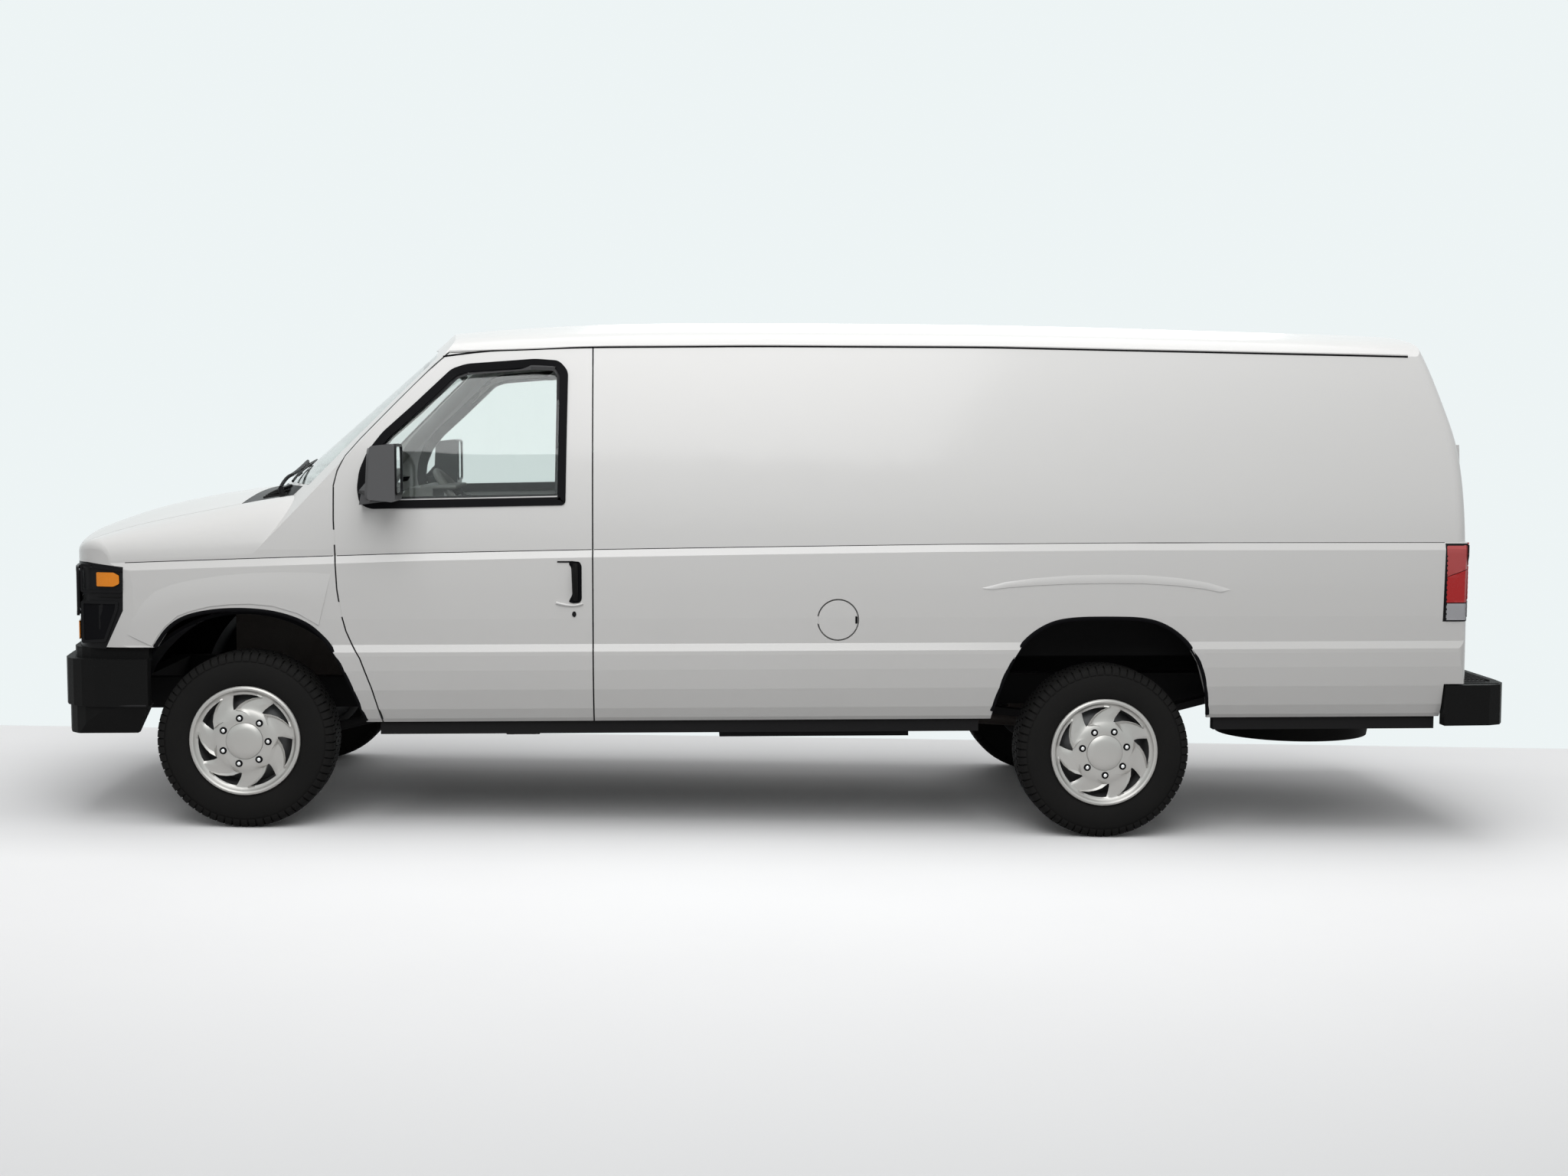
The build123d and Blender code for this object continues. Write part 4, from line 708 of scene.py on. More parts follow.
# %% [markdown]
# ## Wheels
#
# A delivery van's steel wheel hides behind a silver plastic cover with seven swirling vents.
# The cover starts as one turned dish. Its columns are then sheared round the axle, wide at the
# rim and pinched near the hub, and the faces inside each pinched sector are taken away.

# %% Wheel places
WHEELS = {
    "front_left": (AXLE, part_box("wheel_front_left"), math.pi, 0.0),
    "front_right": (AXLE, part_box("wheel_front_right"), 0.0, 0.5),
    "rear_left": (AXLE + REAR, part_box("wheel_rear_left"), math.pi, 16.0),
    "rear_right": (AXLE + REAR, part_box("wheel_rear_right"), 0.0, 9.0),
}
RIM_REACH = 0.127


def wheel_matrix(name):
    """Where a wheel made round the origin, outer side to +Y, stands on the van."""
    x, (low, high), turn, degrees = WHEELS[name]
    outer = low.y if turn else high.y
    y = outer + RIM_REACH if turn else outer - RIM_REACH
    spin = Matrix.Rotation(math.radians(degrees), 4, "Y")
    return Matrix.Translation((x, y, HUB_Z)) @ Matrix.Rotation(turn, 4, "Z") @ spin


print("wheels", list(WHEELS))

# %% Cover dish
VENTS = 7
SECTOR = math.tau / VENTS
COLUMNS = 12
VENT_COLUMNS = 6
VENT_OUT, VENT_IN = 0.188, 0.132
VENT_SPAN, FIRST_SWIRL, LAST_SWIRL = 35.0, 38.5, 6.5
COVER_TURN = math.radians(70)
LIP_RISE, LIP_SINK, COVER_WALL = 0.007, 0.006, 0.0035
DISH = [
    (0.2005, 0.092),
    (0.2200, 0.103),
    (0.2225, 0.108),
    (0.2200, 0.113),
    (0.2130, 0.116),
    (0.2060, 0.113),
    (0.2000, 0.105),
    (0.1940, 0.101),
    (VENT_OUT, 0.100),
    (0.1740, 0.1015),
    (0.1610, 0.103),
    (0.1480, 0.1045),
    (VENT_IN, 0.106),
    (0.1240, 0.109),
    (0.1140, 0.113),
    (0.0960, 0.1155),
    (0.0800, 0.116),
    (0.0745, 0.1155),
    (0.0725, 0.110),
    (0.0600, 0.108),
]


def shear_column(angle, radius):
    """Where a column of the dish stands once the vents are pinched towards the hub."""
    pinch = min(1.0, max(0.0, (VENT_OUT - radius) / (VENT_OUT - VENT_IN)))
    relax = min(1.0, max(0.0, (radius - 0.100) / 0.034))
    sector = math.floor(angle / SECTOR + 1e-6)
    column = (angle - sector * SECTOR) / SECTOR * COLUMNS
    first = math.radians(FIRST_SWIRL * pinch)
    last = math.radians(VENT_SPAN + LAST_SWIRL * pinch)
    if column <= VENT_COLUMNS:
        turned = first + (last - first) * column / VENT_COLUMNS
    else:
        share = (column - VENT_COLUMNS) / (COLUMNS - VENT_COLUMNS)
        turned = last + (first + SECTOR - last) * share
    return sector * SECTOR + turned * relax + (angle - sector * SECTOR) * (1 - relax)


def build_cover():
    """The silver dish with its vents and the raised lip along each vent's long edge."""
    bm = spun(DISH, VENTS * COLUMNS)
    gone = []
    for face in bm.faces:
        middle = face.calc_center_median()
        radius = math.hypot(middle.x, middle.z)
        angle = math.atan2(middle.z, -middle.x) % math.tau
        column = (angle % SECTOR) / SECTOR * COLUMNS
        if VENT_IN < radius < VENT_OUT and column < VENT_COLUMNS:
            gone.append(face)
    for vert in bm.verts:
        radius = math.hypot(vert.co.x, vert.co.z)
        angle = math.atan2(vert.co.z, -vert.co.x) % math.tau
        place = shear_column(angle, radius)
        column = ((angle + 1e-4) % SECTOR) / SECTOR * COLUMNS
        lip = column < 0.5 or column > COLUMNS - 0.5
        rise = LIP_RISE if lip and VENT_IN - 0.01 < radius < VENT_OUT + 0.001 else 0.0
        sink = LIP_SINK if 5.5 < column < 6.5 and VENT_IN < radius < VENT_OUT + 0.001 else 0.0
        vert.co.x = -math.cos(place + COVER_TURN) * radius
        vert.co.z = math.sin(place + COVER_TURN) * radius
        vert.co.y += rise - sink
    bmesh.ops.delete(bm, geom=gone, context="FACES")
    bmesh.ops.recalc_face_normals(bm, faces=bm.faces[:])
    bmesh.ops.solidify(bm, geom=bm.faces[:], thickness=COVER_WALL)
    return bm


cover_bm = build_cover()
print("cover faces", len(cover_bm.faces))


# %% Centre cap, nuts and the steel wheel behind
NUT_CIRCLE = 0.094


def build_cap():
    """The domed centre cap."""
    dome = [(0.0718, 0.108), (0.0712, 0.117), (0.064, 0.1215), (0.048, 0.1245), (0.024, 0.1262)]
    bm = spun([*dome, (0.0, 0.1268)], 56)
    bmesh.ops.solidify(bm, geom=bm.faces[:], thickness=0.002)
    return bm


def build_nuts(radius, tall):
    """Seven round nut caps, or the wider seats under them, each with a tapered tip."""
    bm = bmesh.new()
    for index in range(VENTS):
        angle = math.radians(102.5) + SECTOR * index
        x, z = -math.cos(angle) * NUT_CIRCLE, math.sin(angle) * NUT_CIRCLE
        add_rod(bm, (x, 0.108, z), (x, 0.114 + tall, z), radius, radius * 0.92, 12)
        add_rod(bm, (x, 0.114 + tall, z), (x, 0.118 + tall, z), radius * 0.92, radius * 0.45, 12)
    return bm


def build_rim():
    """The dark steel wheel: bead seats, well and disc, with the hub in its middle."""
    profile = [
        (0.0, 0.030),
        (0.075, 0.030),
        (0.095, 0.048),
        (0.150, 0.040),
        (0.185, 0.020),
        (0.187, 0.060),
        (0.200, 0.082),
        (0.2085, 0.088),
        (0.2085, 0.094),
        (0.196, 0.090),
        (0.180, 0.066),
        (0.178, -0.070),
        (0.196, -0.088),
        (0.2085, -0.094),
        (0.2085, -0.086),
        (0.186, -0.070),
        (0.170, -0.020),
        (0.140, 0.000),
        (0.080, 0.000),
        (0.070, -0.030),
        (0.0, -0.030),
    ]
    return spun(profile, 72)


nut_bm = build_nuts(0.0098, 0.006)
seat_bm = build_nuts(0.0160, 0.0035)
cap_bm = build_cap()
rim_bm = build_rim()
print("rim faces", len(rim_bm.faces))

# %% [markdown]
# The tyre is turned in one piece up to the floor of its tread. Its blocks are short arcs, made
# once by a spin of their section and then repeated round the wheel. The outer blocks reach
# over the shoulder, which is why they show as a ring of teeth from the side.

# %% Tyre
PITCHES, CARCASS_STEPS = 66, 88
BLOCK_LEAD = 0.37
CARCASS = [
    (0.2040, -0.090),
    (0.2120, -0.0985),
    (0.2200, -0.0995),
    (0.2360, -0.1075),
    (0.2620, -0.1112),
    (0.2860, -0.1112),
    (0.3100, -0.1080),
    (0.3300, -0.1005),
    (0.3440, -0.088),
    (0.3480, -0.070),
    (0.3490, 0.0),
]


def build_tyre():
    """Carcass and tread blocks of one tyre."""
    mirrored = [(radius, -depth) for radius, depth in reversed(CARCASS[:-1])]
    inner = [(0.2040, 0.080), (0.2040, -0.080)]
    bm = spun([*CARCASS, *mirrored, *inner, CARCASS[0]], CARCASS_STEPS)
    shoulder = [
        (0.346, 0.058),
        (0.3565, 0.058),
        (0.3545, 0.084),
        (0.346, 0.0985),
        (0.330, 0.1070),
        (0.3225, 0.1070),
        (0.336, 0.094),
    ]
    rib = [(0.346, -0.017), (0.3580, -0.017), (0.3580, 0.017), (0.346, 0.017)]
    near = [(radius, depth * 0.95 + 0.037) for radius, depth in rib]
    far = [(radius, depth * 0.95 - 0.037) for radius, depth in rib]
    other = [(radius, -depth) for radius, depth in reversed(shoulder)]
    pitch = math.tau / PITCHES
    for index, (section, width) in enumerate(
        [(shoulder, 0.80), (near, 0.84), (rib, 0.84), (far, 0.84), (other, 0.80)]
    ):
        verts = [bm.verts.new((-radius, depth, 0)) for radius, depth in section]
        face = bm.faces.new(verts)
        lead = Matrix.Rotation(pitch * BLOCK_LEAD * index, 3, "Y")
        bmesh.ops.rotate(bm, verts=verts, cent=(0, 0, 0), matrix=lead)
        made = bmesh.ops.spin(
            bm,
            geom=[face],
            cent=(0, 0, 0),
            axis=(0, 1, 0),
            angle=pitch * width,
            steps=1,
        )
        last = [item for item in made["geom_last"] if isinstance(item, bmesh.types.BMVert)]
        around = {side for vert in verts + last for side in vert.link_faces}
        edges = {edge for side in around for edge in side.edges}
        bmesh.ops.spin(
            bm,
            geom=verts + last + list(edges) + list(around),
            cent=(0, 0, 0),
            axis=(0, 1, 0),
            angle=pitch * (PITCHES - 1),
            steps=PITCHES - 1,
            use_duplicate=True,
        )
    return bm


tyre_bm = build_tyre()
print("tyre faces", len(tyre_bm.faces))


# %% Set the wheels on the van
def placed(bm, matrix):
    """A copy of the bmesh, moved to its wheel."""
    twin = bm.copy()
    bmesh.ops.transform(twin, matrix=matrix, verts=twin.verts[:])
    return twin


for name in WHEELS:
    body = "wheel_" + name
    matrix = wheel_matrix(name)
    make_piece("cover_" + name, placed(cover_bm, matrix), body, cover_silver, 28)
    make_piece("cap_" + name, placed(cap_bm, matrix), body, cover_silver, 50)
    make_piece("nuts_" + name, placed(nut_bm, matrix), body, chrome)
    make_piece("nut_seats_" + name, placed(seat_bm, matrix), body, gap_black)
    rim = make_piece("rim_" + name, placed(rim_bm, matrix), body, wheel_steel)
    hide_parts("wheel_" + name)
    tyre = make_piece("tread_" + name, placed(tyre_bm, matrix), body, tyre_rubber)
    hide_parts("tyre_" + name)
print("wheel pieces set")

# %% [markdown]
# ## Seals and body lines
#
# A door window sits in a black rubber channel. On the real door one extrusion lines the whole
# opening, from a lip outside the skin to the pane. Here its outline is drawn once, inset into
# a ring, sunk below the door's skin and thickened out past it, so it hides the raw metal edge.

# %% Side window channels
WINDOW_EDGE = [
    (0.467, 1.376),
    (0.477, 1.316),
    (0.518, 1.293),
    (1.303, 1.308),
    (1.312, 1.850),
    (1.276, 1.892),
    (1.180, 1.899),
    (0.902, 1.878),
    (0.842, 1.858),
    (0.688, 1.711),
    (0.568, 1.602),
    (0.508, 1.525),
    (0.476, 1.448),
]
FRONT_DOORS = ("front_door_left", "front_door_right")
door_skin = skin_of("front_door_left")


def outline(rows, side=-1.0):
    """Level (x, z) rows as points beside the van."""
    return [at(x, side * 1.2, z) for x, z in rows]


channel = plate(outline(WINDOW_EDGE), "left", door_skin, -0.020, 0.025, 0.018, 0.07, 0.033)
make_pair("window_channel", channel, FRONT_DOORS, seal_rubber)


def grown(rows, amount):
    """The rows moved away from their middle by amount."""
    middle = (sum(x for x, z in rows) / len(rows), sum(z for x, z in rows) / len(rows))
    result = []
    for x, z in rows:
        reach = math.hypot(x - middle[0], z - middle[1])
        scale = 1 + amount / reach
        result.append((middle[0] + (x - middle[0]) * scale, middle[1] + (z - middle[1]) * scale))
    return result


inner_ring = plate(
    outline(grown(WINDOW_EDGE, -0.004)), "right", door_skin, -0.033, 0.036, 0.018, 0.07, 0.042
)
make_pair("window_surround", inner_ring, FRONT_DOORS, cab_mat)
print("window channels made")

# %% [markdown]
# The belt crease's dark line, the drip rail and the arch lips are long thin beads. The black bead
# in the belt crease is painted shadow. A search ray gives each of their points its place on the
# skin, and a smooth curve carries the bead between them.


# %% Beads along the skin
def on_skin(x, z, skin, lift, side=-1.0):
    """The point of the skin beside (x, z) on the level body, moved out by lift."""
    way = Vector((0, -side, 0))
    start = at(x, side * 1.5, z)
    hit = skin.ray_cast(start, way)[0] or skin.find_nearest(at(x, side * HALF, z))[0]
    return hit - way * lift


def between(rows, start, stop, step):
    """Points along the (x, z) rows from start to stop."""
    count = max(2, round((stop - start) / step) + 1)
    points = []
    for index in range(count):
        x = start + (stop - start) * index / (count - 1)
        for (x0, z0), (x1, z1) in zip(rows, rows[1:]):
            if x0 <= x <= x1:
                points.append((x, z0 + (z1 - z0) * (x - x0) / (x1 - x0)))
                break
    return points


def bead(rows, skin, radius, lift, side=-1.0):
    """A thin round bead on the skin along (x, z) rows."""
    bm = bmesh.new()
    add_tube(bm, [on_skin(x, z, skin, lift, side) for x, z in rows], radius)
    return bm


BELT = [
    (-0.60, 1.0735),
    (-0.428, 1.080),
    (-0.061, 1.092),
    (0.731, 1.116),
    (DOOR_REAR, 1.1285),
    (DOOR_REAR + 0.67, 1.138),
    (DOOR_REAR + 1.42, 1.147),
    (REAR + 0.143, 1.152),
    (TAIL + 0.130, 1.151),
]
BELT_RADIUS, BELT_LIFT, BELT_STEP = 0.0017, -0.0004, 0.12
CARGO_LEAF = 0.590
CARGO_START = DOOR_REAR + 0.071
CARGO_SPLIT = CARGO_START + CARGO_LEAF
CARGO_END = CARGO_SPLIT + CARGO_LEAF
belt_spans = [
    ("fender", "front_fenders", -0.455, 0.372),
    ("door", None, 0.386, DOOR_REAR - 0.004),
    ("side", "body_side_left", DOOR_REAR + 0.006, TAIL - 0.105),
]
for place, node, start, stop in belt_spans:
    rows = between(BELT, start, stop, BELT_STEP)
    for side in (-1.0, 1.0):
        label = "left" if side < 0 else "right"
        door = "front_door_" + label
        if place == "side" and side > 0:
            continue
        skin = skin_of(node or door)
        name = f"belt_crease_shadow_{place}_{label}"
        body = door if place == "door" else "van_body"
        line = bead(rows, skin, BELT_RADIUS, BELT_LIFT, side)
        # painted shadow: a black line along the belt crease
        make_piece(name, line, body, gap_black)
right_spans = [
    ("side_front", "body_side_right", "van_body", DOOR_REAR + 0.006, CARGO_START - 0.004),
    ("cargo_front", "side_door_front", "side_door_front", CARGO_START + 0.004, CARGO_SPLIT - 0.004),
    ("cargo_rear", "side_door_rear", "side_door_rear", CARGO_SPLIT + 0.004, CARGO_END - 0.004),
    ("side_rear", "body_side_right", "van_body", CARGO_END + 0.004, TAIL - 0.105),
]
for place, node, body, start, stop in right_spans:
    rows = between(BELT, start, stop, BELT_STEP)
    bm = bead(rows, skin_of(node), BELT_RADIUS, BELT_LIFT, 1.0)
    # painted shadow: a black line along the belt crease
    make_piece("belt_crease_shadow_" + place, bm, body, gap_black)
print("belt lines made")

# %% Drip rails
RAIL = [
    (0.800, 1.912),
    (0.829, 1.924),
    (1.206, 1.937),
    (1.412, 1.947),
    (2.076, 1.9525),
    (3.026, 1.9505),
    (3.986, 1.932),
    (4.640, 1.919),
    (4.800, 1.9155),
]
roof_skin = skin_of("roof_panel", "body_side_left", "windshield_frame")
rail_rows = between(RAIL, 0.83, 4.78, 0.13)
lip = bead([(x, z + 0.006) for x, z in rail_rows], roof_skin, 0.0055, 0.0005)
make_pair("drip_rail", lip, "van_body", white_paint)
# painted shadow: a black bead under the rail's lip, which over the front door also stands for the door's top
# seal
shade_line = bead([(x, z - 0.001) for x, z in rail_rows], roof_skin, 0.0042, -0.0012)
make_pair("drip_rail_seam_shadow", shade_line, "van_body", gap_black)
print("drip rails made")

# %% Wheel arch lips
FRONT_LIP = [
    (-0.342, 0.735),
    (-0.333, 0.757),
    (-0.291, 0.818),
    (-0.223, 0.864),
    (-0.107, 0.888),
    (0.020, 0.892),
    (0.143, 0.879),
    (0.262, 0.838),
    (0.333, 0.773),
    (0.384, 0.697),
    (0.444, 0.562),
    (0.486, 0.444),
    (0.489, 0.434),
]
REAR_LIP = [
    (-0.462, 0.440),
    (-0.441, 0.540),
    (-0.395, 0.657),
    (-0.332, 0.758),
    (-0.238, 0.822),
    (-0.143, 0.843),
    (0.015, 0.845),
    (0.172, 0.841),
    (0.270, 0.803),
    (0.350, 0.730),
    (0.398, 0.650),
    (0.431, 0.521),
    (0.437, 0.440),
]


def arch_lip(rows, skin, start):
    """A round black lip that follows an arch just inside the skin."""
    points = []
    for x, z in rows:
        point = on_skin(start + x, z, skin, -0.004)
        point.y = max(point.y, -HALF + 0.006)
        points.append(point)
    bm = bmesh.new()
    add_tube(bm, points, 0.009)
    return bm


fender_skin = skin_of("front_fenders")
side_skin = skin_of("body_side_left")
front_lip = arch_lip(FRONT_LIP, fender_skin, 0.0)
rear_lip = arch_lip(REAR_LIP, side_skin, REAR)
make_pair("front_arch_lip", front_lip, "van_body", gap_black)
make_pair("rear_arch_lip", rear_lip, "van_body", gap_black)
print("arch lips made")

# %% [markdown]
# Over each wheel the sheet swells into a shallow flare. Five arcs between its outer and its
# inner line stand at rising heights and are bridged into a crescent. The outermost lies just
# below the skin, so the crescent comes out of the body without a step and shows as a soft line.


# %% Wheel arch flares
def flare(outer, inner, start, skin, rise):
    """A crescent between two arcs behind start, raised along the inner one."""
    bm = bmesh.new()
    chains = []
    for share, height in ((0.0, 0.0), (0.2, 0.45), (0.45, 0.85), (0.75, 1.0), (1.0, 0.9)):
        verts = []
        for (x0, z0), (x1, z1) in zip(outer, inner):
            x, z = x0 + (x1 - x0) * share, z0 + (z1 - z0) * share
            verts.append(bm.verts.new(on_skin(start + x, z, skin, rise * height - 0.0048)))
        chains.append([bm.edges.new(pair) for pair in zip(verts, verts[1:])])
    for first, second in zip(chains, chains[1:]):
        bmesh.ops.bridge_loops(bm, edges=first + second)
    thicken(bm, INWARD["left"], 0.004)
    return bm


FLARE_FRONT = [
    (-0.468, 0.800),
    (-0.440, 0.862),
    (-0.400, 0.915),
    (-0.343, 0.972),
    (-0.270, 1.000),
    (-0.191, 1.018),
    (-0.070, 1.036),
    (0.052, 1.046),
    (0.180, 1.050),
    (0.300, 1.050),
    (0.366, 1.048),
]
FLARE_FRONT_IN = [
    (-0.352, 0.744),
    (-0.331, 0.783),
    (-0.300, 0.822),
    (-0.248, 0.866),
    (-0.190, 0.887),
    (-0.120, 0.904),
    (-0.040, 0.912),
    (0.040, 0.914),
    (0.130, 0.905),
    (0.230, 0.875),
    (0.312, 0.826),
]
FLARE_REAR = [
    (-0.520, 0.970),
    (-0.420, 0.996),
    (-0.300, 1.012),
    (-0.150, 1.024),
    (0.000, 1.027),
    (0.150, 1.025),
    (0.300, 1.012),
    (0.420, 0.992),
    (0.520, 0.962),
]
FLARE_REAR_IN = [
    (-0.470, 0.964),
    (-0.400, 0.972),
    (-0.290, 0.980),
    (-0.150, 0.986),
    (0.000, 0.988),
    (0.150, 0.987),
    (0.290, 0.978),
    (0.400, 0.964),
    (0.470, 0.950),
]
front_flare = flare(FLARE_FRONT, FLARE_FRONT_IN, 0.0, fender_skin, 0.0055)
make_pair("front_flare", front_flare, "van_body", white_paint, 60.0)
rear_flare = flare(FLARE_REAR, FLARE_REAR_IN, REAR, side_skin, 0.0036)
make_pair("rear_flare", rear_flare, "van_body", white_paint, 60.0)
print("flares made")

# %% [markdown]
# ## Door handles, lock and filler door
#
# The real handle is a black paddle in an upright recess. The door's solid has no recess, so a
# dark plate on the skin stands in for it, with a bowed grip across it, a dark line above, a
# pale lip below and a lock barrel under that.


# %% Handles
def round_outline(x, z, half_x, half_z, count=12):
    """An oval in side view round (x, z)."""
    steps = [math.tau * index / count for index in range(count)]
    return [(x + math.cos(angle) * half_x, z + math.sin(angle) * half_z) for angle in steps]


HANDLE = [
    (-0.067, -0.080),
    (-0.052, -0.086),
    (-0.022, -0.084),
    (-0.014, -0.070),
    (-0.014, 0.066),
    (-0.022, 0.082),
    (-0.060, 0.086),
    (-0.066, 0.074),
    (-0.056, 0.060),
    (-0.052, -0.050),
]


HANDLE_Z, GRIP_RADIUS = 0.998, 0.0115


def door_handle(name, edge, body, side):
    """The paddle, its cup, the line above and the lip and lock below, edge being the door's."""
    z = HANDLE_Z
    skin = skin_of(body)
    way = "left" if side < 0 else "right"
    shape = [(edge + x, z + dz) for x, dz in HANDLE]
    cup = plate(outline(shape, side), way, skin, -0.002, 0.0045, 0.006, 0.04)
    make_piece(name + "_cup", cup, body, gap_black)
    grip = bmesh.new()
    ends = [on_skin(edge - 0.040, z + dz, skin, lift, side) for dz, lift in (
        (-0.072, 0.002), (-0.050, 0.014), (0.000, 0.018), (0.050, 0.014), (0.072, 0.002)
    )]
    add_tube(grip, ends, GRIP_RADIUS)
    make_piece(name + "_grip", grip, body, bumper_plastic)
    lines = bmesh.new()
    row = [on_skin(edge + x, z + 0.082, skin, 0.001, side) for x in (-0.112, -0.085, -0.055)]
    add_tube(lines, row, 0.0032)
    make_piece(name + "_top", lines, body, gap_black)
    pale = bmesh.new()
    add_tube(pale, [on_skin(edge + x, z + dz, skin, 0.002, side) for x, dz in (
        (-0.118, -0.083), (-0.080, -0.094), (-0.030, -0.095), (-0.010, -0.086)
    )], 0.0055)
    make_piece(name + "_lip", pale, body, white_paint)
    barrel = round_outline(edge - 0.045, z - 0.130, 0.0085, 0.0115)
    lock = plate(outline(barrel, side), way, skin, 0.0, 0.003)
    make_piece(name + "_lock", lock, body, black_trim)


EDGE = DOOR_REAR - 0.030
door_handle("handle_left", EDGE, "front_door_left", -1.0)
door_handle("handle_right", EDGE, "front_door_right", 1.0)
door_handle("cargo_handle", CARGO_SPLIT - 0.020, "side_door_front", 1.0)
print("handles made")

# %% Filler door ring and finger notch
low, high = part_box("fuel_door")
FILLER = LEVEL @ ((low + high) / 2)
fuel_skin = skin_of("fuel_door")
notch = [(FILLER.x + 0.070 + dx, FILLER.z + dz) for dx, dz in (
    (0.000, -0.016), (0.009, -0.014), (0.009, 0.014), (0.000, 0.016)
)]
bm = plate(outline(notch), "left", fuel_skin, -0.001, 0.003, 0.004, 0.02)
make_piece("filler_notch", bm, "fuel_door", gap_black)
ring = bmesh.new()
loop = [on_skin(x, z, side_skin, -0.012) for x, z in round_outline(FILLER.x, FILLER.z, 0.0835, 0.0835, 24)]
add_tube(ring, loop, 0.0028, closed=True)
make_piece("filler_seal", ring, "van_body", gap_black)
print("filler door trimmed")

# %% [markdown]
# ## Lamps and grille
#
# Each front lamp is a black case that wraps round the corner. An amber marker sits high on its
# side, the main lamp faces forward under a clear cover, and a turn lamp lies below it. All of
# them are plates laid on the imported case, so they bow with the nose. Lenses have moulded ribs:
# every other line of their grid is raised a little.


# %% Side of the lamp case
RIB_ORIGIN = (1.0, 2.0, 0.0)


def add_lens_ribs(bm, across, pitch, out, depth):
    """Moves every other grid line along one axis, counted across another on the level body."""
    for vert in bm.verts:
        place = (LEVEL @ vert.co)[across] + RIB_ORIGIN[across]
        vert.co[out] += depth * (round(place / pitch) % 2)


lamp_skin = skin_of("headlamps")
MARKER = [
    (-0.573, 0.984),
    (-0.500, 0.984),
    (-0.477, 0.995),
    (-0.477, 1.028),
    (-0.500, 1.040),
    (-0.573, 1.040),
]
BAY_TOP = [
    (-0.645, 0.958),
    (-0.464, 0.958),
    (-0.461, 1.052),
    (-0.590, 1.068),
    (-0.645, 1.074),
]
BAY_LOW = [
    (-0.645, 0.925),
    (-0.482, 0.925),
    (-0.486, 0.888),
    (-0.538, 0.760),
    (-0.645, 0.752),
]
bay_frame = plate(outline(BAY_TOP), "left", lamp_skin, 0.0, 0.005, 0.010, 0.05, 0.010)
make_pair("lamp_bay_frame", bay_frame, "van_body", black_trim)
low_frame = plate(outline(BAY_LOW), "left", lamp_skin, 0.0, 0.005, 0.010, 0.05, 0.012)
make_pair("lamp_low_frame", low_frame, "van_body", black_trim)
low_panel = plate(outline(grown(BAY_LOW, -0.014)), "left", lamp_skin, 0.0, 0.0015, 0.008, 0.05)
make_pair("lamp_low_panel", low_panel, "van_body", gap_black)
marker = plate(outline(MARKER), "left", lamp_skin, 0.0, 0.0075, 0.004, 0.012)
add_lens_ribs(marker, 0, 0.012, 1, -0.0012)
make_pair("side_marker", marker, "van_body", amber_lens, 15.0)
split = bmesh.new()
add_tube(split, [on_skin(x, 0.9415, lamp_skin, 0.001) for x in (-0.650, -0.58, -0.52, -0.472)], 0.0035)
make_pair("lamp_split_line", split, "van_body", bumper_plastic)
print("side markers made")


# %% Front of the lamp case
def front_outline(rows):
    """Level (y, z) rows as points ahead of the van."""
    return [at(-1.2, y, z) for y, z in rows]


def box_rows(y_low, y_high, z_low, z_high):
    """The four corners of an upright rectangle."""
    return [(y_low, z_low), (y_high, z_low), (y_high, z_high), (y_low, z_high)]


front_skin = skin_of("headlamps", "grille")
NEAR_Y, FAR_Y = -0.905, -0.590
bowl = plate(
    front_outline(box_rows(NEAR_Y + 0.010, FAR_Y - 0.010, 0.895, 1.050)), "front", front_skin,
    0.0, 0.004, 0.030, 0.02
)
for vert in bowl.verts:
    level = LEVEL @ vert.co
    across = (level.y - (NEAR_Y + FAR_Y) / 2) / 0.16
    tall = (level.z - 0.972) / 0.078
    vert.co.x += 0.003 * max(0.0, 1.0 - across * across - tall * tall)
make_pair("headlamp_bowl", bowl, "van_body", reflector, 60.0)
cover = plate(
    front_outline(box_rows(NEAR_Y, FAR_Y, 0.880, 1.062)), "front", front_skin, 0.0055, 0.004, 0.026, 0.03
)
make_pair("headlamp_cover", cover, "van_body", head_lens, 60.0)
rim = plate(
    front_outline(box_rows(NEAR_Y - 0.010, FAR_Y + 0.012, 0.870, 1.070)), "front", front_skin,
    0.0, 0.011, 0.030, 0.03, 0.014
)
make_pair("headlamp_rim", rim, "van_body", black_trim)
turn_lamp = plate(
    front_outline(box_rows(NEAR_Y + 0.045, FAR_Y - 0.010, 0.770, 0.845)), "front", front_skin,
    0.0, 0.004, 0.016, 0.010
)
add_lens_ribs(turn_lamp, 1, 0.010, 0, -0.0014)
make_pair("turn_lamp", turn_lamp, "van_body", amber_lens, 15.0)
print("headlamps made")

# %% [markdown]
# The grille is a plain black frame with three bars, and a dark panel with thin upright ribs
# behind them. The bars are plates too, cut on a grid and bent on to the nose.

# %% Grille
grille_skin = skin_of("grille")
opening = plate(
    front_outline(box_rows(-0.540, 0.540, 0.760, 1.062)), "front", grille_skin, 0.0, 0.002, 0.020, 0.05
)
make_piece("grille_mesh", opening, "van_body", gap_black)
frame_ring = plate(
    front_outline(box_rows(-0.552, 0.552, 0.748, 1.074)), "front", grille_skin, 0.0, 0.014, 0.026, 0.06, 0.020
)
make_piece("grille_frame", frame_ring, "van_body", bumper_plastic)
for index, z in enumerate((0.838, 0.911, 0.984)):
    bar = plate(
        front_outline(box_rows(-0.538, 0.538, z - 0.017, z + 0.017)), "front", grille_skin,
        0.001, 0.013, 0.006, 0.06
    )
    make_piece(f"grille_bar_{index + 1}", bar, "van_body", bumper_plastic)
GRILLE_RIBS, GRILLE_PITCH = 35, 0.03
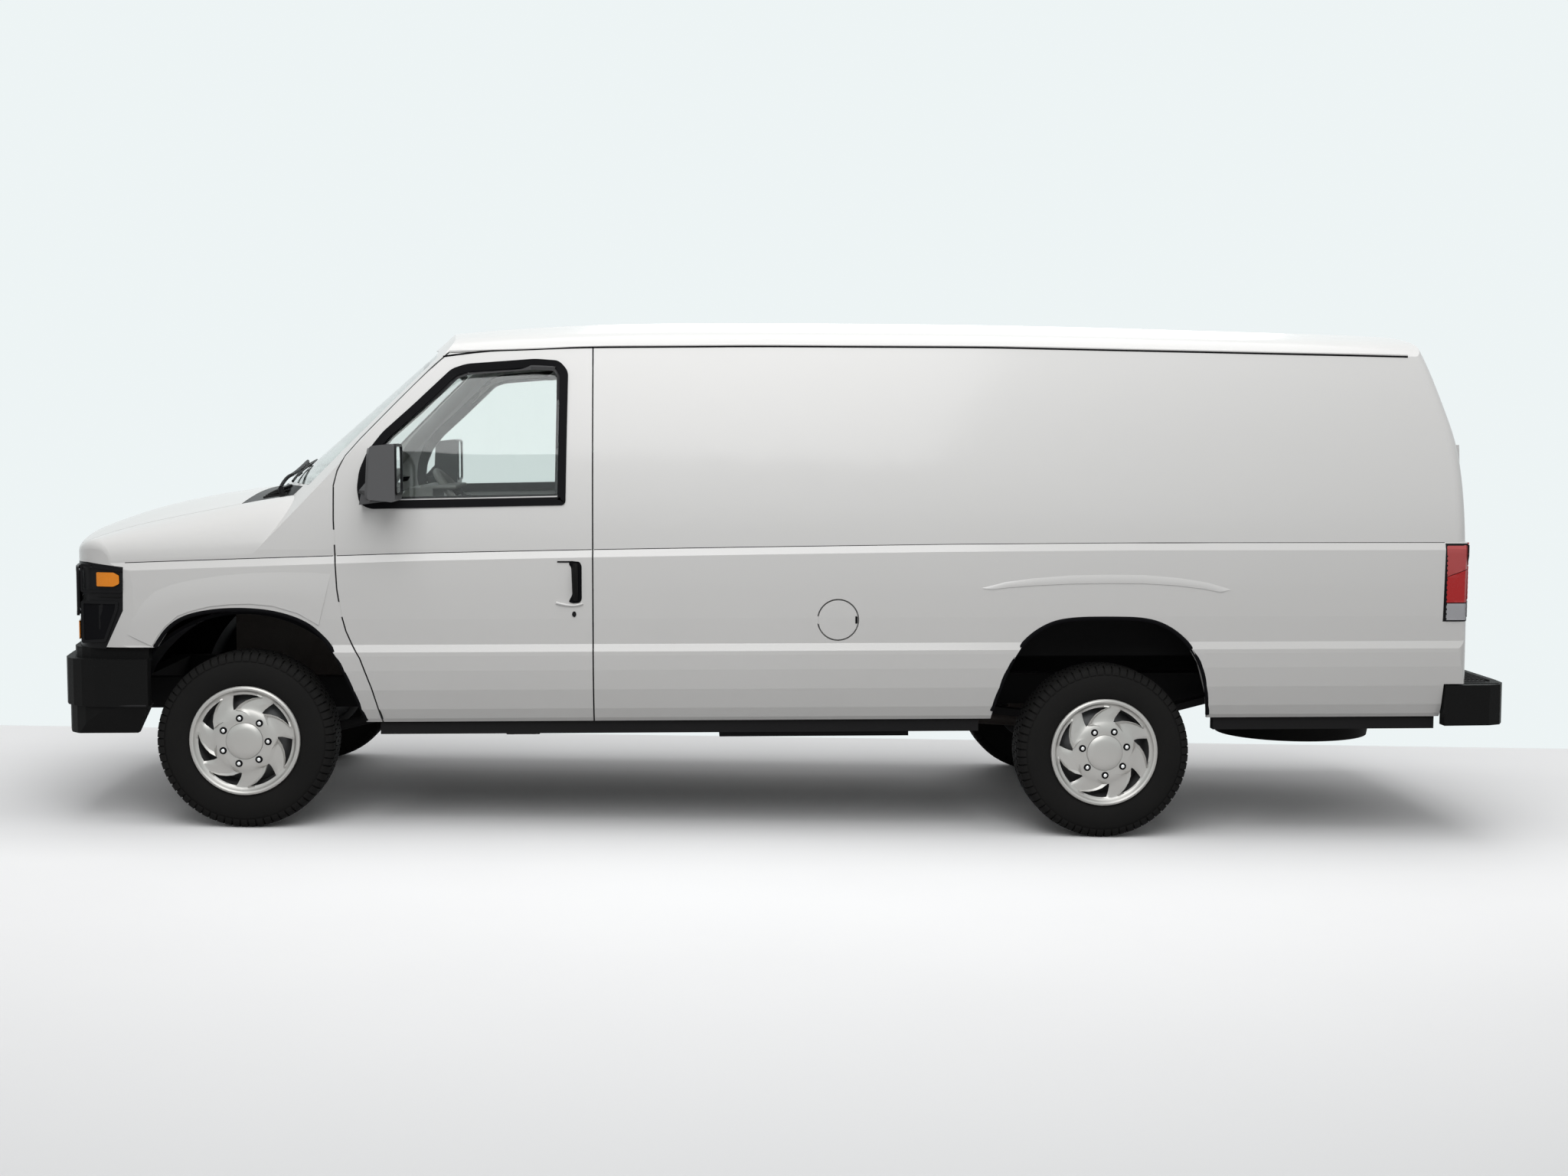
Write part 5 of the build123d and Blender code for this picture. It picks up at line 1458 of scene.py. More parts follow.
ribs = bmesh.new()
for index in range(GRILLE_RIBS):
    y = -0.51 + index * GRILLE_PITCH
    low_point, high_point = at(-1.2, y, 0.775), at(-1.2, y, 1.048)
    way = INWARD["front"]
    ends = [grille_skin.ray_cast(point, way)[0] - way * 0.004 for point in (low_point, high_point)]
    add_rod(ribs, ends[0], ends[1], 0.0022, segments=6)
make_piece("grille_ribs", ribs, "van_body", gap_black)
print("grille made")

# %% [markdown]
# The tail lamp wraps round the corner as one tall lens in three zones: muted red above, bright
# red in the middle and a clear grey reversing lamp below. On the side the joint between the two
# reds slants up to the rear.

# %% Tail lamps
tail_skin = skin_of("tail_lamps")
REAR_X = TAIL - 0.004
LENS_X = TAIL - 0.098
ZONES = [
    ("upper", pink_lens, [(LENS_X, 1.012), (REAR_X, 1.046), (REAR_X, 1.141), (LENS_X, 1.141)]),
    ("middle", red_lens, [(LENS_X, 0.905), (REAR_X, 0.905), (REAR_X, 1.043), (LENS_X, 1.009)]),
    ("lower", reverse_lens, [(LENS_X, 0.833), (REAR_X, 0.833), (REAR_X, 0.901), (LENS_X, 0.901)]),
]
for label, material, rows in ZONES:
    lens = plate(outline(rows), "left", tail_skin, 0.0, 0.0045, 0.004, 0.010)
    add_lens_ribs(lens, 2, 0.010, 1, -0.0007)
    make_pair("tail_lens_" + label, lens, "van_body", material, 15.0)


def rear_outline(rows):
    """Level (y, z) rows as points behind the van."""
    return [at(TAIL + 0.5, y, z) for y, z in rows]


REAR_ZONES = [
    ("upper", pink_lens, 1.046, 1.141),
    ("middle", red_lens, 0.905, 1.043),
    ("lower", reverse_lens, 0.833, 0.901),
]
for label, material, z_low, z_high in REAR_ZONES:
    rows = box_rows(-HALF + 0.022, -HALF + 0.128, z_low, z_high)
    lens = plate(rear_outline(rows), "rear", tail_skin, 0.0, 0.0045, 0.004, 0.010)
    add_lens_ribs(lens, 2, 0.010, 0, 0.0007)
    make_pair("rear_lens_" + label, lens, "van_body", material, 15.0)
edge_rows = [(LENS_X - 0.003, 0.829), (REAR_X, 0.829), (REAR_X, 1.145), (LENS_X - 0.003, 1.145)]
edge = plate(outline(edge_rows), "left", tail_skin, 0.0, 0.0048, 0.006, 0.04, 0.006)
make_pair("tail_lamp_edge", edge, "van_body", black_trim)
bump = bmesh.new()
add_rod(bump, at(TAIL - 0.010, -0.962, 0.775), at(TAIL - 0.010, -0.962, 0.812), 0.009, 0.006)
make_pair("rear_hinge_bump", bump, "van_body", white_paint)
print("tail lamps made")

# %% [markdown]
# ## Bumpers, cowl and wipers
#
# The rear bumper's top is a ribbed step pad, a lighter grey than the bar round it. The front
# bumper's groove is drawn as a thin grey bead set into the bar. A blank plate frame and four
# bolt heads sit on its face.

# %% Step pad and bumper grooves
bumper_skin = skin_of("rear_bumper")
PAD_HALF = 0.870
STEP_RIBS, STEP_PITCH = 7, 0.018
pad_top = bmesh.new()
for index in range(STEP_RIBS):
    x = TAIL + 0.032 + index * STEP_PITCH
    bm_ends = [at(x, y, 0.5655) for y in (-PAD_HALF, PAD_HALF)]
    add_rod(pad_top, bm_ends[0], bm_ends[1], 0.0042, segments=8)
make_piece("step_ribs", pad_top, "van_body", step_grey)
pad = plate(
    [at(TAIL + x, y, 2.0) for x, y in (
        (0.020, -PAD_HALF - 0.030), (0.145, -PAD_HALF - 0.030), (0.162, -0.4), (0.170, 0.0),
        (0.162, 0.4), (0.145, PAD_HALF + 0.030), (0.020, PAD_HALF + 0.030)
    )],
    "top", bumper_skin, 0.0, 0.003, 0.012, 0.12
)
make_piece("step_pad", pad, "van_body", step_grey)


def bumper_bead(rows, skin, radius, lift):
    """A bead along the bumper's side and round on to its face, from (x, y, z, way) rows."""
    bm = bmesh.new()
    points = []
    for x, y, z, way in rows:
        way = Vector(way).normalized()
        hit = skin.ray_cast(at(x, y, z) - way * 1.5, way)[0]
        points.append(hit - way * lift)
    add_tube(bm, points, radius)
    return bm


front_bar = skin_of("front_bumper")
GROOVE = [
    (-0.380, -1.0, 0.503, (0, 1, 0)),
    (-0.500, -1.0, 0.503, (0, 1, 0)),
    (-0.600, -0.97, 0.503, (0, 1, 0)),
    (-0.660, -0.92, 0.503, (0.5, 1, 0)),
    (-0.700, -0.88, 0.503, (1, 1, 0)),
    (-0.740, -0.80, 0.503, (1, 0.5, 0)),
    (-0.760, -0.60, 0.503, (1, 0, 0)),
    (-0.780, -0.30, 0.503, (1, 0, 0)),
    (-0.787, 0.0, 0.503, (1, 0, 0)),
]
mirror_rows = [(x, -y, z, (way[0], -way[1], 0)) for x, y, z, way in reversed(GROOVE[:-1])]
groove = bumper_bead([*GROOVE, *mirror_rows], front_bar, 0.0050, -0.0030)
make_piece("bumper_groove", groove, "van_body", step_grey)
plate_pad = plate(
    front_outline(box_rows(-0.165, 0.165, 0.500, 0.680)), "front", front_bar, -0.0038, 0.0020,
    0.012, 0.05, 0.012
)
make_piece("plate_frame", plate_pad, "van_body", bumper_plastic)
bolts = bmesh.new()
for y in (-0.62, 0.62, -0.30, 0.30):
    hit = front_bar.ray_cast(at(-1.2, y, 0.640), INWARD["front"])[0]
    add_rod(bolts, hit + Vector((0.004, 0, 0)), hit - Vector((0.006, 0, 0)), 0.011, 0.008, 12)
make_piece("bumper_bolts", bolts, "van_body", black_trim)
print("bumpers trimmed")

# %% [markdown]
# The cowl is a dark louvred strip ahead of the windshield. Each wiper is a spindle, an arm that
# bends up the pane and a thin blade, all seated a little ahead of the bowed pane by search rays.

# %% Cowl louvres
cowl_skin = skin_of("cowl_panel", "hood")
LOUVRES, LOUVRE_PITCH = 30, 0.0497
louvres = bmesh.new()
for index in range(LOUVRES):
    y = -0.72 + index * LOUVRE_PITCH
    hit = cowl_skin.ray_cast(at(0.060, y, 2.0), INWARD["top"])[0]
    back = cowl_skin.ray_cast(at(0.160, y, 2.0), INWARD["top"])[0]
    if hit and back:
        add_rod(louvres, hit, back, 0.006, segments=8)
make_piece("cowl_louvres", louvres, "van_body", bumper_plastic)
print("cowl louvres made")

# %% Wipers
glass_skin = skin_of("windshield", "cowl_panel", "windshield_frame")


def on_pane(x, y, z, lift):
    """A place ahead of the pane at height z, seen from the front and above."""
    way = Vector((1, 0, -0.75)).normalized()
    start = at(x, y, z) - way * 0.8
    hit = glass_skin.ray_cast(start, way)[0]
    return (hit or at(x, y, z)) - way * lift


def wiper(name, pivot_y, reach, tip_y):
    """A spindle, a bent arm, a blade across its tip and the two links that hold the blade."""
    bm = bmesh.new()
    base = on_pane(0.085, pivot_y, 1.372, 0.0)
    top = base + Vector((-0.012, 0, 0.030))
    add_rod(bm, base - Vector((0, 0, 0.010)), top, 0.015, 0.011, 16)
    elbow = on_pane(0.150, pivot_y + (tip_y - pivot_y) * 0.35, 1.425, 0.030)
    tip = on_pane(0.150 + reach * 0.4, tip_y, 1.372 + reach, 0.024)
    add_tube(bm, [top, (top + elbow) / 2 + Vector((-0.010, 0, 0.012)), elbow, tip], 0.0075)
    span = (tip_y - pivot_y) * 0.85
    blade = [on_pane(0.100 + reach * 0.2, tip_y - span * share, 1.390 + reach * (1 - share * 0.9), 0.012)
             for share in (-0.55, -0.2, 0.0, 0.25, 0.5, 0.8)]
    add_tube(bm, blade, 0.0055)
    for first, second in ((blade[1], tip), (blade[3], tip)):
        add_rod(bm, first, second, 0.0038, segments=8)
    make_piece(name, bm, "van_body", black_trim)


wiper("wiper_left", -0.700, 0.075, -0.260)
wiper("wiper_right", 0.060, 0.075, 0.480)
print("wipers made")

# %% Windshield band
pane_skin = skin_of("windshield")
BAND = [
    (-0.850, 1.392), (0.850, 1.392), (0.772, 1.902), (0.600, 1.930),
    (0.0, 1.946), (-0.600, 1.930), (-0.772, 1.902),
]
band = plate(front_outline(BAND), "front", pane_skin, -0.004, 0.0015, 0.020, 0.05, 0.022, 0.20)
make_piece("windshield_band", band, "van_body", gap_black)
print("windshield banded")

# %% [markdown]
# ## Door mirrors
#
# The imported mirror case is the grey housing. Thin caps lie on its front and its outer side, and
# the glass sits in a black rim on the face that looks back.


# %% Mirror cap and glass
def case_outline(rows):
    """Level (y, z) rows as points behind the mirror."""
    return [at(1.2, y, z) for y, z in rows]


mirror_skin = skin_of("mirror_left")
low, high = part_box("mirror_left")
OUT_Y, IN_Y = low.y + 0.018, low.y + 0.190
glass_rows = box_rows(OUT_Y, IN_Y, 1.352, 1.536)
glass = plate(case_outline(glass_rows), "rear", mirror_skin, 0.0, 0.002, 0.020, 0.06)
rim = plate(case_outline(grown(glass_rows, 0.011)), "rear", mirror_skin, 0.0, 0.007, 0.024, 0.06, 0.010)
make_pair("mirror_glass", glass, FRONT_DOORS, mirror_face)
make_pair("mirror_rim", rim, FRONT_DOORS, black_trim)
cap_rows = box_rows(OUT_Y - 0.006, IN_Y + 0.004, 1.338, 1.548)
front_cap = plate([at(0.2, y, z) for y, z in cap_rows], "front", mirror_skin, 0.0, 0.010, 0.026, 0.06)
make_pair("mirror_cap", front_cap, FRONT_DOORS, mirror_grey)
side_cap = plate(
    [at(x, -1.6, z) for x, z in ((0.552, 1.345), (0.578, 1.340), (0.578, 1.548), (0.560, 1.545))],
    "left", mirror_skin, -0.004, 0.0038, 0.004, 0.06
)
make_pair("mirror_side_cap", side_cap, FRONT_DOORS, mirror_grey)
print("mirrors finished")

# %% [markdown]
# ## Cab
#
# Through the side window the wheel, the dash and the seats show. The steering wheel is a tube
# bent into a ring, with a padded hub and two double spokes. The dash gets a hood over its
# gauges, vents, a radio, a turn stalk and a glove box lid.

# %% Steering wheel
low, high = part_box("steering_wheel")
WHEEL_AT = (low + high) / 2
STEERING_R = 0.190
DASH_REAR = (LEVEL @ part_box("dashboard")[1]).x
AXIS_TURN = Vector((1.0, 0.0, 0.85)).to_track_quat("Z", "Y").to_matrix().to_4x4()
WHEEL_TURN = Matrix.Translation(WHEEL_AT) @ BODY_TURN @ AXIS_TURN


def build_steering():
    """A rim of round section, a dished hub pad and two spokes, made flat and then tipped."""
    bm = bmesh.new()
    turns = [math.tau * step / 24 for step in range(24)]
    loop = [(math.cos(turn) * STEERING_R, math.sin(turn) * STEERING_R, 0.0) for turn in turns]
    add_tube(bm, loop, 0.0148, closed=True)
    for side in (-1, 1):
        add_tube(bm, [(0, side * 0.055, -0.012), (0, side * 0.12, -0.008), (0, side * 0.186, 0)], 0.011)
        spoke = [(0.03, side * 0.05, -0.012), (0.02, side * 0.12, -0.008), (0.01, side * 0.186, 0)]
        add_tube(bm, spoke, 0.009)
    add_box(bm, (0, 0, -0.010), (0.115, 0.135, 0.040), 0.014, Matrix.Identity(4))
    bmesh.ops.transform(bm, matrix=WHEEL_TURN, verts=bm.verts[:])
    return bm


steering = make_piece("steering_rim", build_steering(), "steering_wheel", dash_grey, 50)
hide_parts("steering_wheel")
print("steering wheel made")

# %% Dash details
STEER_Y = WHEEL_AT.y
gauges = bmesh.new()
add_box(gauges, at(DASH_REAR - 0.036, STEER_Y, 1.328), (0.030, 0.330, 0.060), 0.010)
make_piece("gauge_face", gauges, "van_body", gap_black)
hood = bmesh.new()
add_box(hood, at(DASH_REAR - 0.085, STEER_Y, 1.374), (0.150, 0.405, 0.016), 0.007)
make_piece("gauge_hood", hood, "van_body", dash_grey)
VENT_Z, SLAT_PITCH = 1.232, 0.016
vents, slats = bmesh.new(), bmesh.new()
for y in (-0.74, -0.22, 0.10, 0.74):
    add_box(vents, at(DASH_REAR - 0.006, y, VENT_Z), (0.020, 0.110, 0.062), 0.006)
    for row in (-1, 0, 1):
        slat_at = at(DASH_REAR + 0.004, y, VENT_Z + row * SLAT_PITCH)
        add_box(slats, slat_at, (0.010, 0.092, 0.004), 0.001)
make_piece("dash_vents", vents, "van_body", cab_mat)
make_piece("vent_slats", slats, "van_body", dash_grey)
radio = bmesh.new()
add_box(radio, at(DASH_REAR - 0.004, -0.06, 1.160), (0.020, 0.200, 0.066), 0.006)
for y in (-0.135, 0.015):
    add_rod(radio, at(DASH_REAR, y, 1.160), at(DASH_REAR + 0.020, y, 1.160), 0.014, 0.012)
make_piece("radio", radio, "van_body", gap_black)
glove = bmesh.new()
add_box(glove, at(DASH_REAR - 0.012, 0.500, 1.150), (0.028, 0.380, 0.130), 0.010)
make_piece("glove_box", glove, "van_body", dash_grey)
stalk = bmesh.new()
hub = at(WHEEL_AT.x - AXLE - 0.070, STEER_Y, 1.232)
add_tube(stalk, [hub, hub + Vector((0.010, -0.08, 0.010)), hub + Vector((0.030, -0.150, 0.020))], 0.006)
make_piece("turn_stalk", stalk, "van_body", gap_black)
print("dash detailed")

# %% [markdown]
# Each front door has a moulded card with an arm rest inside.

# %% Door cards
CARD = [
    (0.500, 0.800),
    (1.270, 0.800),
    (1.280, 1.235),
    (0.530, 1.225),
    (0.480, 1.100),
]
card = plate([at(x, 0.0, z) for x, z in CARD], "right", door_skin, 0.001, 0.010, 0.030, 0.08, 0.0, 0.10)
make_pair("door_card", card, FRONT_DOORS, pale_trim)
rest = bmesh.new()
for x in (0.80, 1.10):
    add_box(rest, at(x, -0.900, 1.040), (0.060, 0.050, 0.050), 0.012)
add_box(rest, at(0.950, -0.878, 1.060), (0.420, 0.052, 0.050), 0.018)
make_pair("arm_rest", rest, FRONT_DOORS, dash_grey)
print("cab lined")

# %% [markdown]
# ## Seats
#
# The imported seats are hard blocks. Here each seat becomes two sewn cushions and a head rest. A
# cushion starts as a block with rounded edges that is remeshed evenly, and a cloth run with a
# little air pressure then lets it swell between its seams.

# %% Cushion shapes
BACK = DOOR_REAR - 0.322
SEAT_MID = -(1.006 - 0.084 - 0.092 - 0.250)
CLOTH_FRAMES = 20
CLOTH_LIMIT = 0.012
CLOTH_PRESSURE = 4.0
CLOTH_VOXEL = 0.008
SEAM_REACH = 0.007


def side_block(rows, half, bevel):
    """A block with that outline in side view, standing round the seat's middle."""
    bm = bmesh.new()
    face = bm.faces.new([bm.verts.new(at(x, SEAT_MID - half, z)) for x, z in rows])
    made = bmesh.ops.extrude_face_region(bm, geom=[face])
    far = [item for item in made["geom"] if isinstance(item, bmesh.types.BMVert)]
    bmesh.ops.translate(bm, verts=far, vec=(0, half * 2, 0))
    bmesh.ops.recalc_face_normals(bm, faces=bm.faces[:])
    bmesh.ops.bevel(
        bm,
        geom=bm.edges[:],
        offset=bevel,
        segments=3,
        profile=0.5,
        affect="EDGES",
        material=-1,
        clamp_overlap=True,
    )
    return bm


def swell_cloth(piece, seams):
    """Runs the cushion as an air-filled cloth and keeps the last frame, capped near its start.
    The points near a seam line stay where they are."""
    remesh = piece.modifiers.new("even", "REMESH")
    remesh.mode = "VOXEL"
    remesh.voxel_size = CLOTH_VOXEL
    bpy.context.view_layer.update()
    graph = bpy.context.evaluated_depsgraph_get()
    even = bpy.data.meshes.new_from_object(piece.evaluated_get(graph))
    piece.modifiers.clear()
    old, piece.data = piece.data, even
    bpy.data.meshes.remove(old)
    start = [vert.co.copy() for vert in even.vertices]
    pins = piece.vertex_groups.new(name="seam")
    held = [
        index for index, point in enumerate(start)
        if any(abs((LEVEL @ point).dot(axis) - place) < SEAM_REACH for axis, place in seams)
    ]
    pins.add(held, 1.0, "ADD")
    cloth = piece.modifiers.new("cloth", "CLOTH")
    cloth.settings.quality = 6
    cloth.settings.mass = 0.3
    cloth.settings.tension_stiffness = 20.0
    cloth.settings.compression_stiffness = 20.0
    cloth.settings.bending_stiffness = 2.0
    cloth.settings.use_pressure = True
    cloth.settings.uniform_pressure_force = CLOTH_PRESSURE
    cloth.settings.vertex_group_mass = "seam"
    cloth.settings.effector_weights.gravity = 0.0
    cloth.point_cache.frame_start = 1
    cloth.point_cache.frame_end = CLOTH_FRAMES
    for step in range(1, CLOTH_FRAMES + 1):
        scene.frame_set(step)
        bpy.context.view_layer.update()
    graph = bpy.context.evaluated_depsgraph_get()
    done = bpy.data.meshes.new_from_object(piece.evaluated_get(graph))
    piece.modifiers.clear()
    for vert, first in zip(done.vertices, start):
        move = vert.co - first
        if move.length > CLOTH_LIMIT:
            vert.co = first + move.normalized() * CLOTH_LIMIT
    old, piece.data = piece.data, done
    bpy.data.meshes.remove(old)
    scene.frame_set(1)
    piece.vertex_groups.clear()


def cushion(name, rows, half, bevel, seams):
    """One cushion in cloth on each side of the cab, swollen once and then mirrored."""
    bm = side_block(rows, half, bevel)
    piece = make_piece(name + "_left", bm, "van_body", seat_cloth, 180.0)
    swell_cloth(piece, [(Vector(axis), place) for axis, place in seams])
    twin = bmesh.new()
    twin.from_mesh(piece.data)
    bmesh.ops.scale(twin, verts=twin.verts[:], vec=(1, -1, 1))
    other = make_piece(name + "_right", twin, "van_body", seat_cloth, 180.0)
    for each in (piece, other):
        for face in each.data.polygons:
            face.use_smooth = True
        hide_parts("seats")


print("cushion helpers ready")

# %% Cushions, pedestals and posts
cushion("seat_cushion", [
    (BACK - 0.172, 0.915), (BACK - 0.178, 0.985), (BACK - 0.10, 0.996),
    (BACK + 0.205, 0.968), (BACK + 0.205, 0.915),
], 0.235, 0.030, [((0, 1, 0), SEAT_MID - 0.13), ((0, 1, 0), SEAT_MID + 0.13), ((1, 0, 0), BACK - 0.04)])
cushion("seat_back", [
    (BACK + 0.232, 0.990), (BACK + 0.275, 1.290), (BACK + 0.302, 1.520), (BACK + 0.372, 1.520),
    (BACK + 0.350, 1.250), (BACK + 0.308, 0.925), (BACK + 0.232, 0.925),
], 0.232, 0.030, [((0, 1, 0), SEAT_MID - 0.13), ((0, 1, 0), SEAT_MID + 0.13), ((0, 0, 1), 1.22)])
cushion("head_rest", [
    (BACK + 0.312, 1.556), (BACK + 0.318, 1.636), (BACK + 0.376, 1.636), (BACK + 0.376, 1.556),
], 0.120, 0.022, [((0, 1, 0), SEAT_MID)])
posts = bmesh.new()
for y in (SEAT_MID - 0.06, SEAT_MID + 0.06):
    add_rod(posts, at(BACK + 0.340, y, 1.500), at(BACK + 0.345, y, 1.580), 0.006, segments=12)
for piece in make_pair("rest_posts", posts, "van_body", chrome):
    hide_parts("seats")
base = bmesh.new()
add_box(base, at(BACK + 0.130, SEAT_MID, 0.803), (0.290, 0.390, 0.200), 0.012)
add_box(base, at(BACK - 0.070, SEAT_MID, 0.752), (0.120, 0.390, 0.290), 0.012)
for y in (SEAT_MID - 0.17, SEAT_MID + 0.17):
    add_box(base, at(BACK + 0.030, y, 0.907), (0.400, 0.034, 0.020), 0.004)
for piece in make_pair("seat_base", base, "van_body", cab_mat):
    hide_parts("seats")
print("seats made")

# %% [markdown]
# ## Rear doors
#
# Two doors close the tail. Each has a pane in a black seal and two outside hinges. The right
# one has the handle, the left one a recess for a blank number plate with a lamp above it.

# %% Rear window seals
REAR_DOORS = ("rear_door_left", "rear_door_right")
LEAF = -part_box("rear_door_left")[0].y
rear_skin = skin_of("rear_door_left")
rear_skin_right = skin_of("rear_door_right")
PANE = [(-LEAF + 0.140, 1.300), (-0.110, 1.300), (-0.110, 1.760), (-LEAF + 0.188, 1.760)]
seal = plate(rear_outline(grown(PANE, 0.020)), "rear", rear_skin, -0.018, 0.023, 0.040, 0.06, 0.036)
make_pair("rear_window_seal", seal, REAR_DOORS, seal_rubber)
print("rear windows sealed")

# %% Rear handle and plate recess
cup_rows = box_rows(0.035, 0.115, 0.985, 1.125)
cup = plate(rear_outline(cup_rows), "rear", rear_skin_right, 0.0, 0.004, 0.014, 0.04)
make_piece("rear_handle_cup", cup, "rear_door_right", gap_black)
grip = bmesh.new()
rows = [(0.998, 0.002), (1.015, 0.016), (1.055, 0.020), (1.095, 0.016), (1.112, 0.002)]
way = INWARD["rear"]
points = [rear_skin_right.ray_cast(at(TAIL + 0.5, 0.075, z), way)[0] - way * lift for z, lift in rows]
add_tube(grip, points, GRIP_RADIUS)
make_piece("rear_handle_grip", grip, "rear_door_right", bumper_plastic)
lock_rows = [(0.075 + dy, 0.940 + dz) for dy, dz in round_outline(0.0, 0.0, 0.011, 0.011)]
lock = plate(rear_outline(lock_rows), "rear", rear_skin_right, 0.0, 0.003)
make_piece("rear_lock", lock, "rear_door_right", black_trim)
PLATE = box_rows(-0.485, -0.135, 0.905, 1.085)
ring = plate(rear_outline(PLATE), "rear", rear_skin, 0.0, 0.007, 0.020, 0.06, 0.014)
make_piece("plate_recess_rim", ring, "rear_door_left", white_paint)
back = plate(rear_outline(grown(PLATE, -0.016)), "rear", rear_skin, 0.0, 0.0015, 0.014, 0.06)
make_piece("plate_recess", back, "rear_door_left", step_grey)
lamp = plate(rear_outline(box_rows(-0.385, -0.235, 1.092, 1.112)), "rear", rear_skin, 0.0, 0.014, 0.006, 0.05)
make_piece("plate_lamp", lamp, "rear_door_left", black_trim)
stop = plate(
    rear_outline(box_rows(-0.150, 0.150, 1.921, 1.943)), "rear", skin_of("roof_panel"), 0.0, 0.008, 0.006,
    0.05, 0.0, 0.3
)
make_piece("stop_lamp", stop, "van_body", red_lens)
print("rear doors fitted")

# %% [markdown]
# ## Hinges and door gaps
#
# Each rear and cargo door hangs on two barrels that stand on its tilted hinge line, with straps
# on the door. A thin rubber bead fills the gap at the front doors' front edges and at both ends
# of the cargo doorway, and stays with the body.


# %% Hinges
def hinge(name, foot, head, heights, body, straps):
    """Barrels on the line from foot to head at those heights, and straps that ride the door."""
    barrels = bmesh.new()
    for z in heights:
        ends = []
        for level in (z - 0.036, z + 0.036):
            share = (level - foot[2]) / (head[2] - foot[2])
            ends.append(at(*[a + (b - a) * share for a, b in zip(foot, head)]))
        add_rod(barrels, ends[0], ends[1], 0.0085, segments=16)
    make_piece(name + "_barrels", barrels, "van_body", white_paint)
    for index, strap in enumerate(straps):
        make_piece(f"{name}_strap_{index + 1}", strap, body, white_paint)


REAR_HINGES = (0.835, 1.515)
CARGO_HINGES = (0.895, 1.515)
for side, body in ((-1, "rear_door_left"), (1, "rear_door_right")):
    skin = skin_of(body)
    y = side * (LEAF - 0.002)
    lean = 0.05
    foot, head = (TAIL + 0.012 + lean * 0.5, y, 0.5), (TAIL + 0.012 - lean * 0.9, y, 1.9)
    straps = []
    for z in REAR_HINGES:
        reach = sorted((y - side * 0.014, y - side * 0.100))
        rows = box_rows(*reach, z - 0.026, z + 0.026)
        straps.append(plate(rear_outline(rows), "rear", skin, 0.0, 0.005, 0.010, 0.05))
    hinge("rear_hinge_" + ("left" if side < 0 else "right"), foot, head, REAR_HINGES, body, straps)
for index, body in enumerate(("side_door_front", "side_door_rear")):
    skin = skin_of(body)
    edge = CARGO_START + 0.012 if index == 0 else CARGO_END - 0.012
    inner = 1 if index == 0 else -1
    straps = []
    for z in CARGO_HINGES:
        reach = sorted((edge + inner * 0.014, edge + inner * 0.090))
        rows = [(reach[0], z - 0.026), (reach[1], z - 0.026), (reach[1], z + 0.026), (reach[0], z + 0.026)]
        straps.append(plate(outline(rows, 1.0), "right", skin, 0.0, 0.004, 0.010, 0.05))
    foot, head = (edge, HALF + 0.010, 0.5), (edge, HALF - 0.102, 1.9)
    hinge(body + "_hinge", foot, head, CARGO_HINGES, body, straps)
print("hinges made")

# %% Gap beads
GAP_DEPTH, GAP_BEAD = 0.0035, 0.0021
near_left = skin_of("front_fenders", "body_side_left", "windshield_frame", "front_door_left")
near_right = skin_of("body_side_right", "side_door_front", "side_door_rear")


def gap_bead(rows, skin, side):
    """A bead in the gap that follows (x, z) rows, a little below the skins beside it."""
    bm = bmesh.new()
    points = []
    for x, z in rows:
        place = at(x, side * HALF, z)
        near = skin.find_nearest(place)[0]
        points.append(Vector((place.x, near.y - side * GAP_DEPTH, place.z)))
    add_tube(bm, points, GAP_BEAD)
    return bm


def even_rows(start, stop):
    """Places about 0.1 apart on a straight line between two (x, z) corners."""
    count = max(2, round(math.dist(start, stop) / 0.10) + 1)
    return [
        tuple(a + (b - a) * index / (count - 1) for a, b in zip(start, stop)) for index in range(count)
    ]


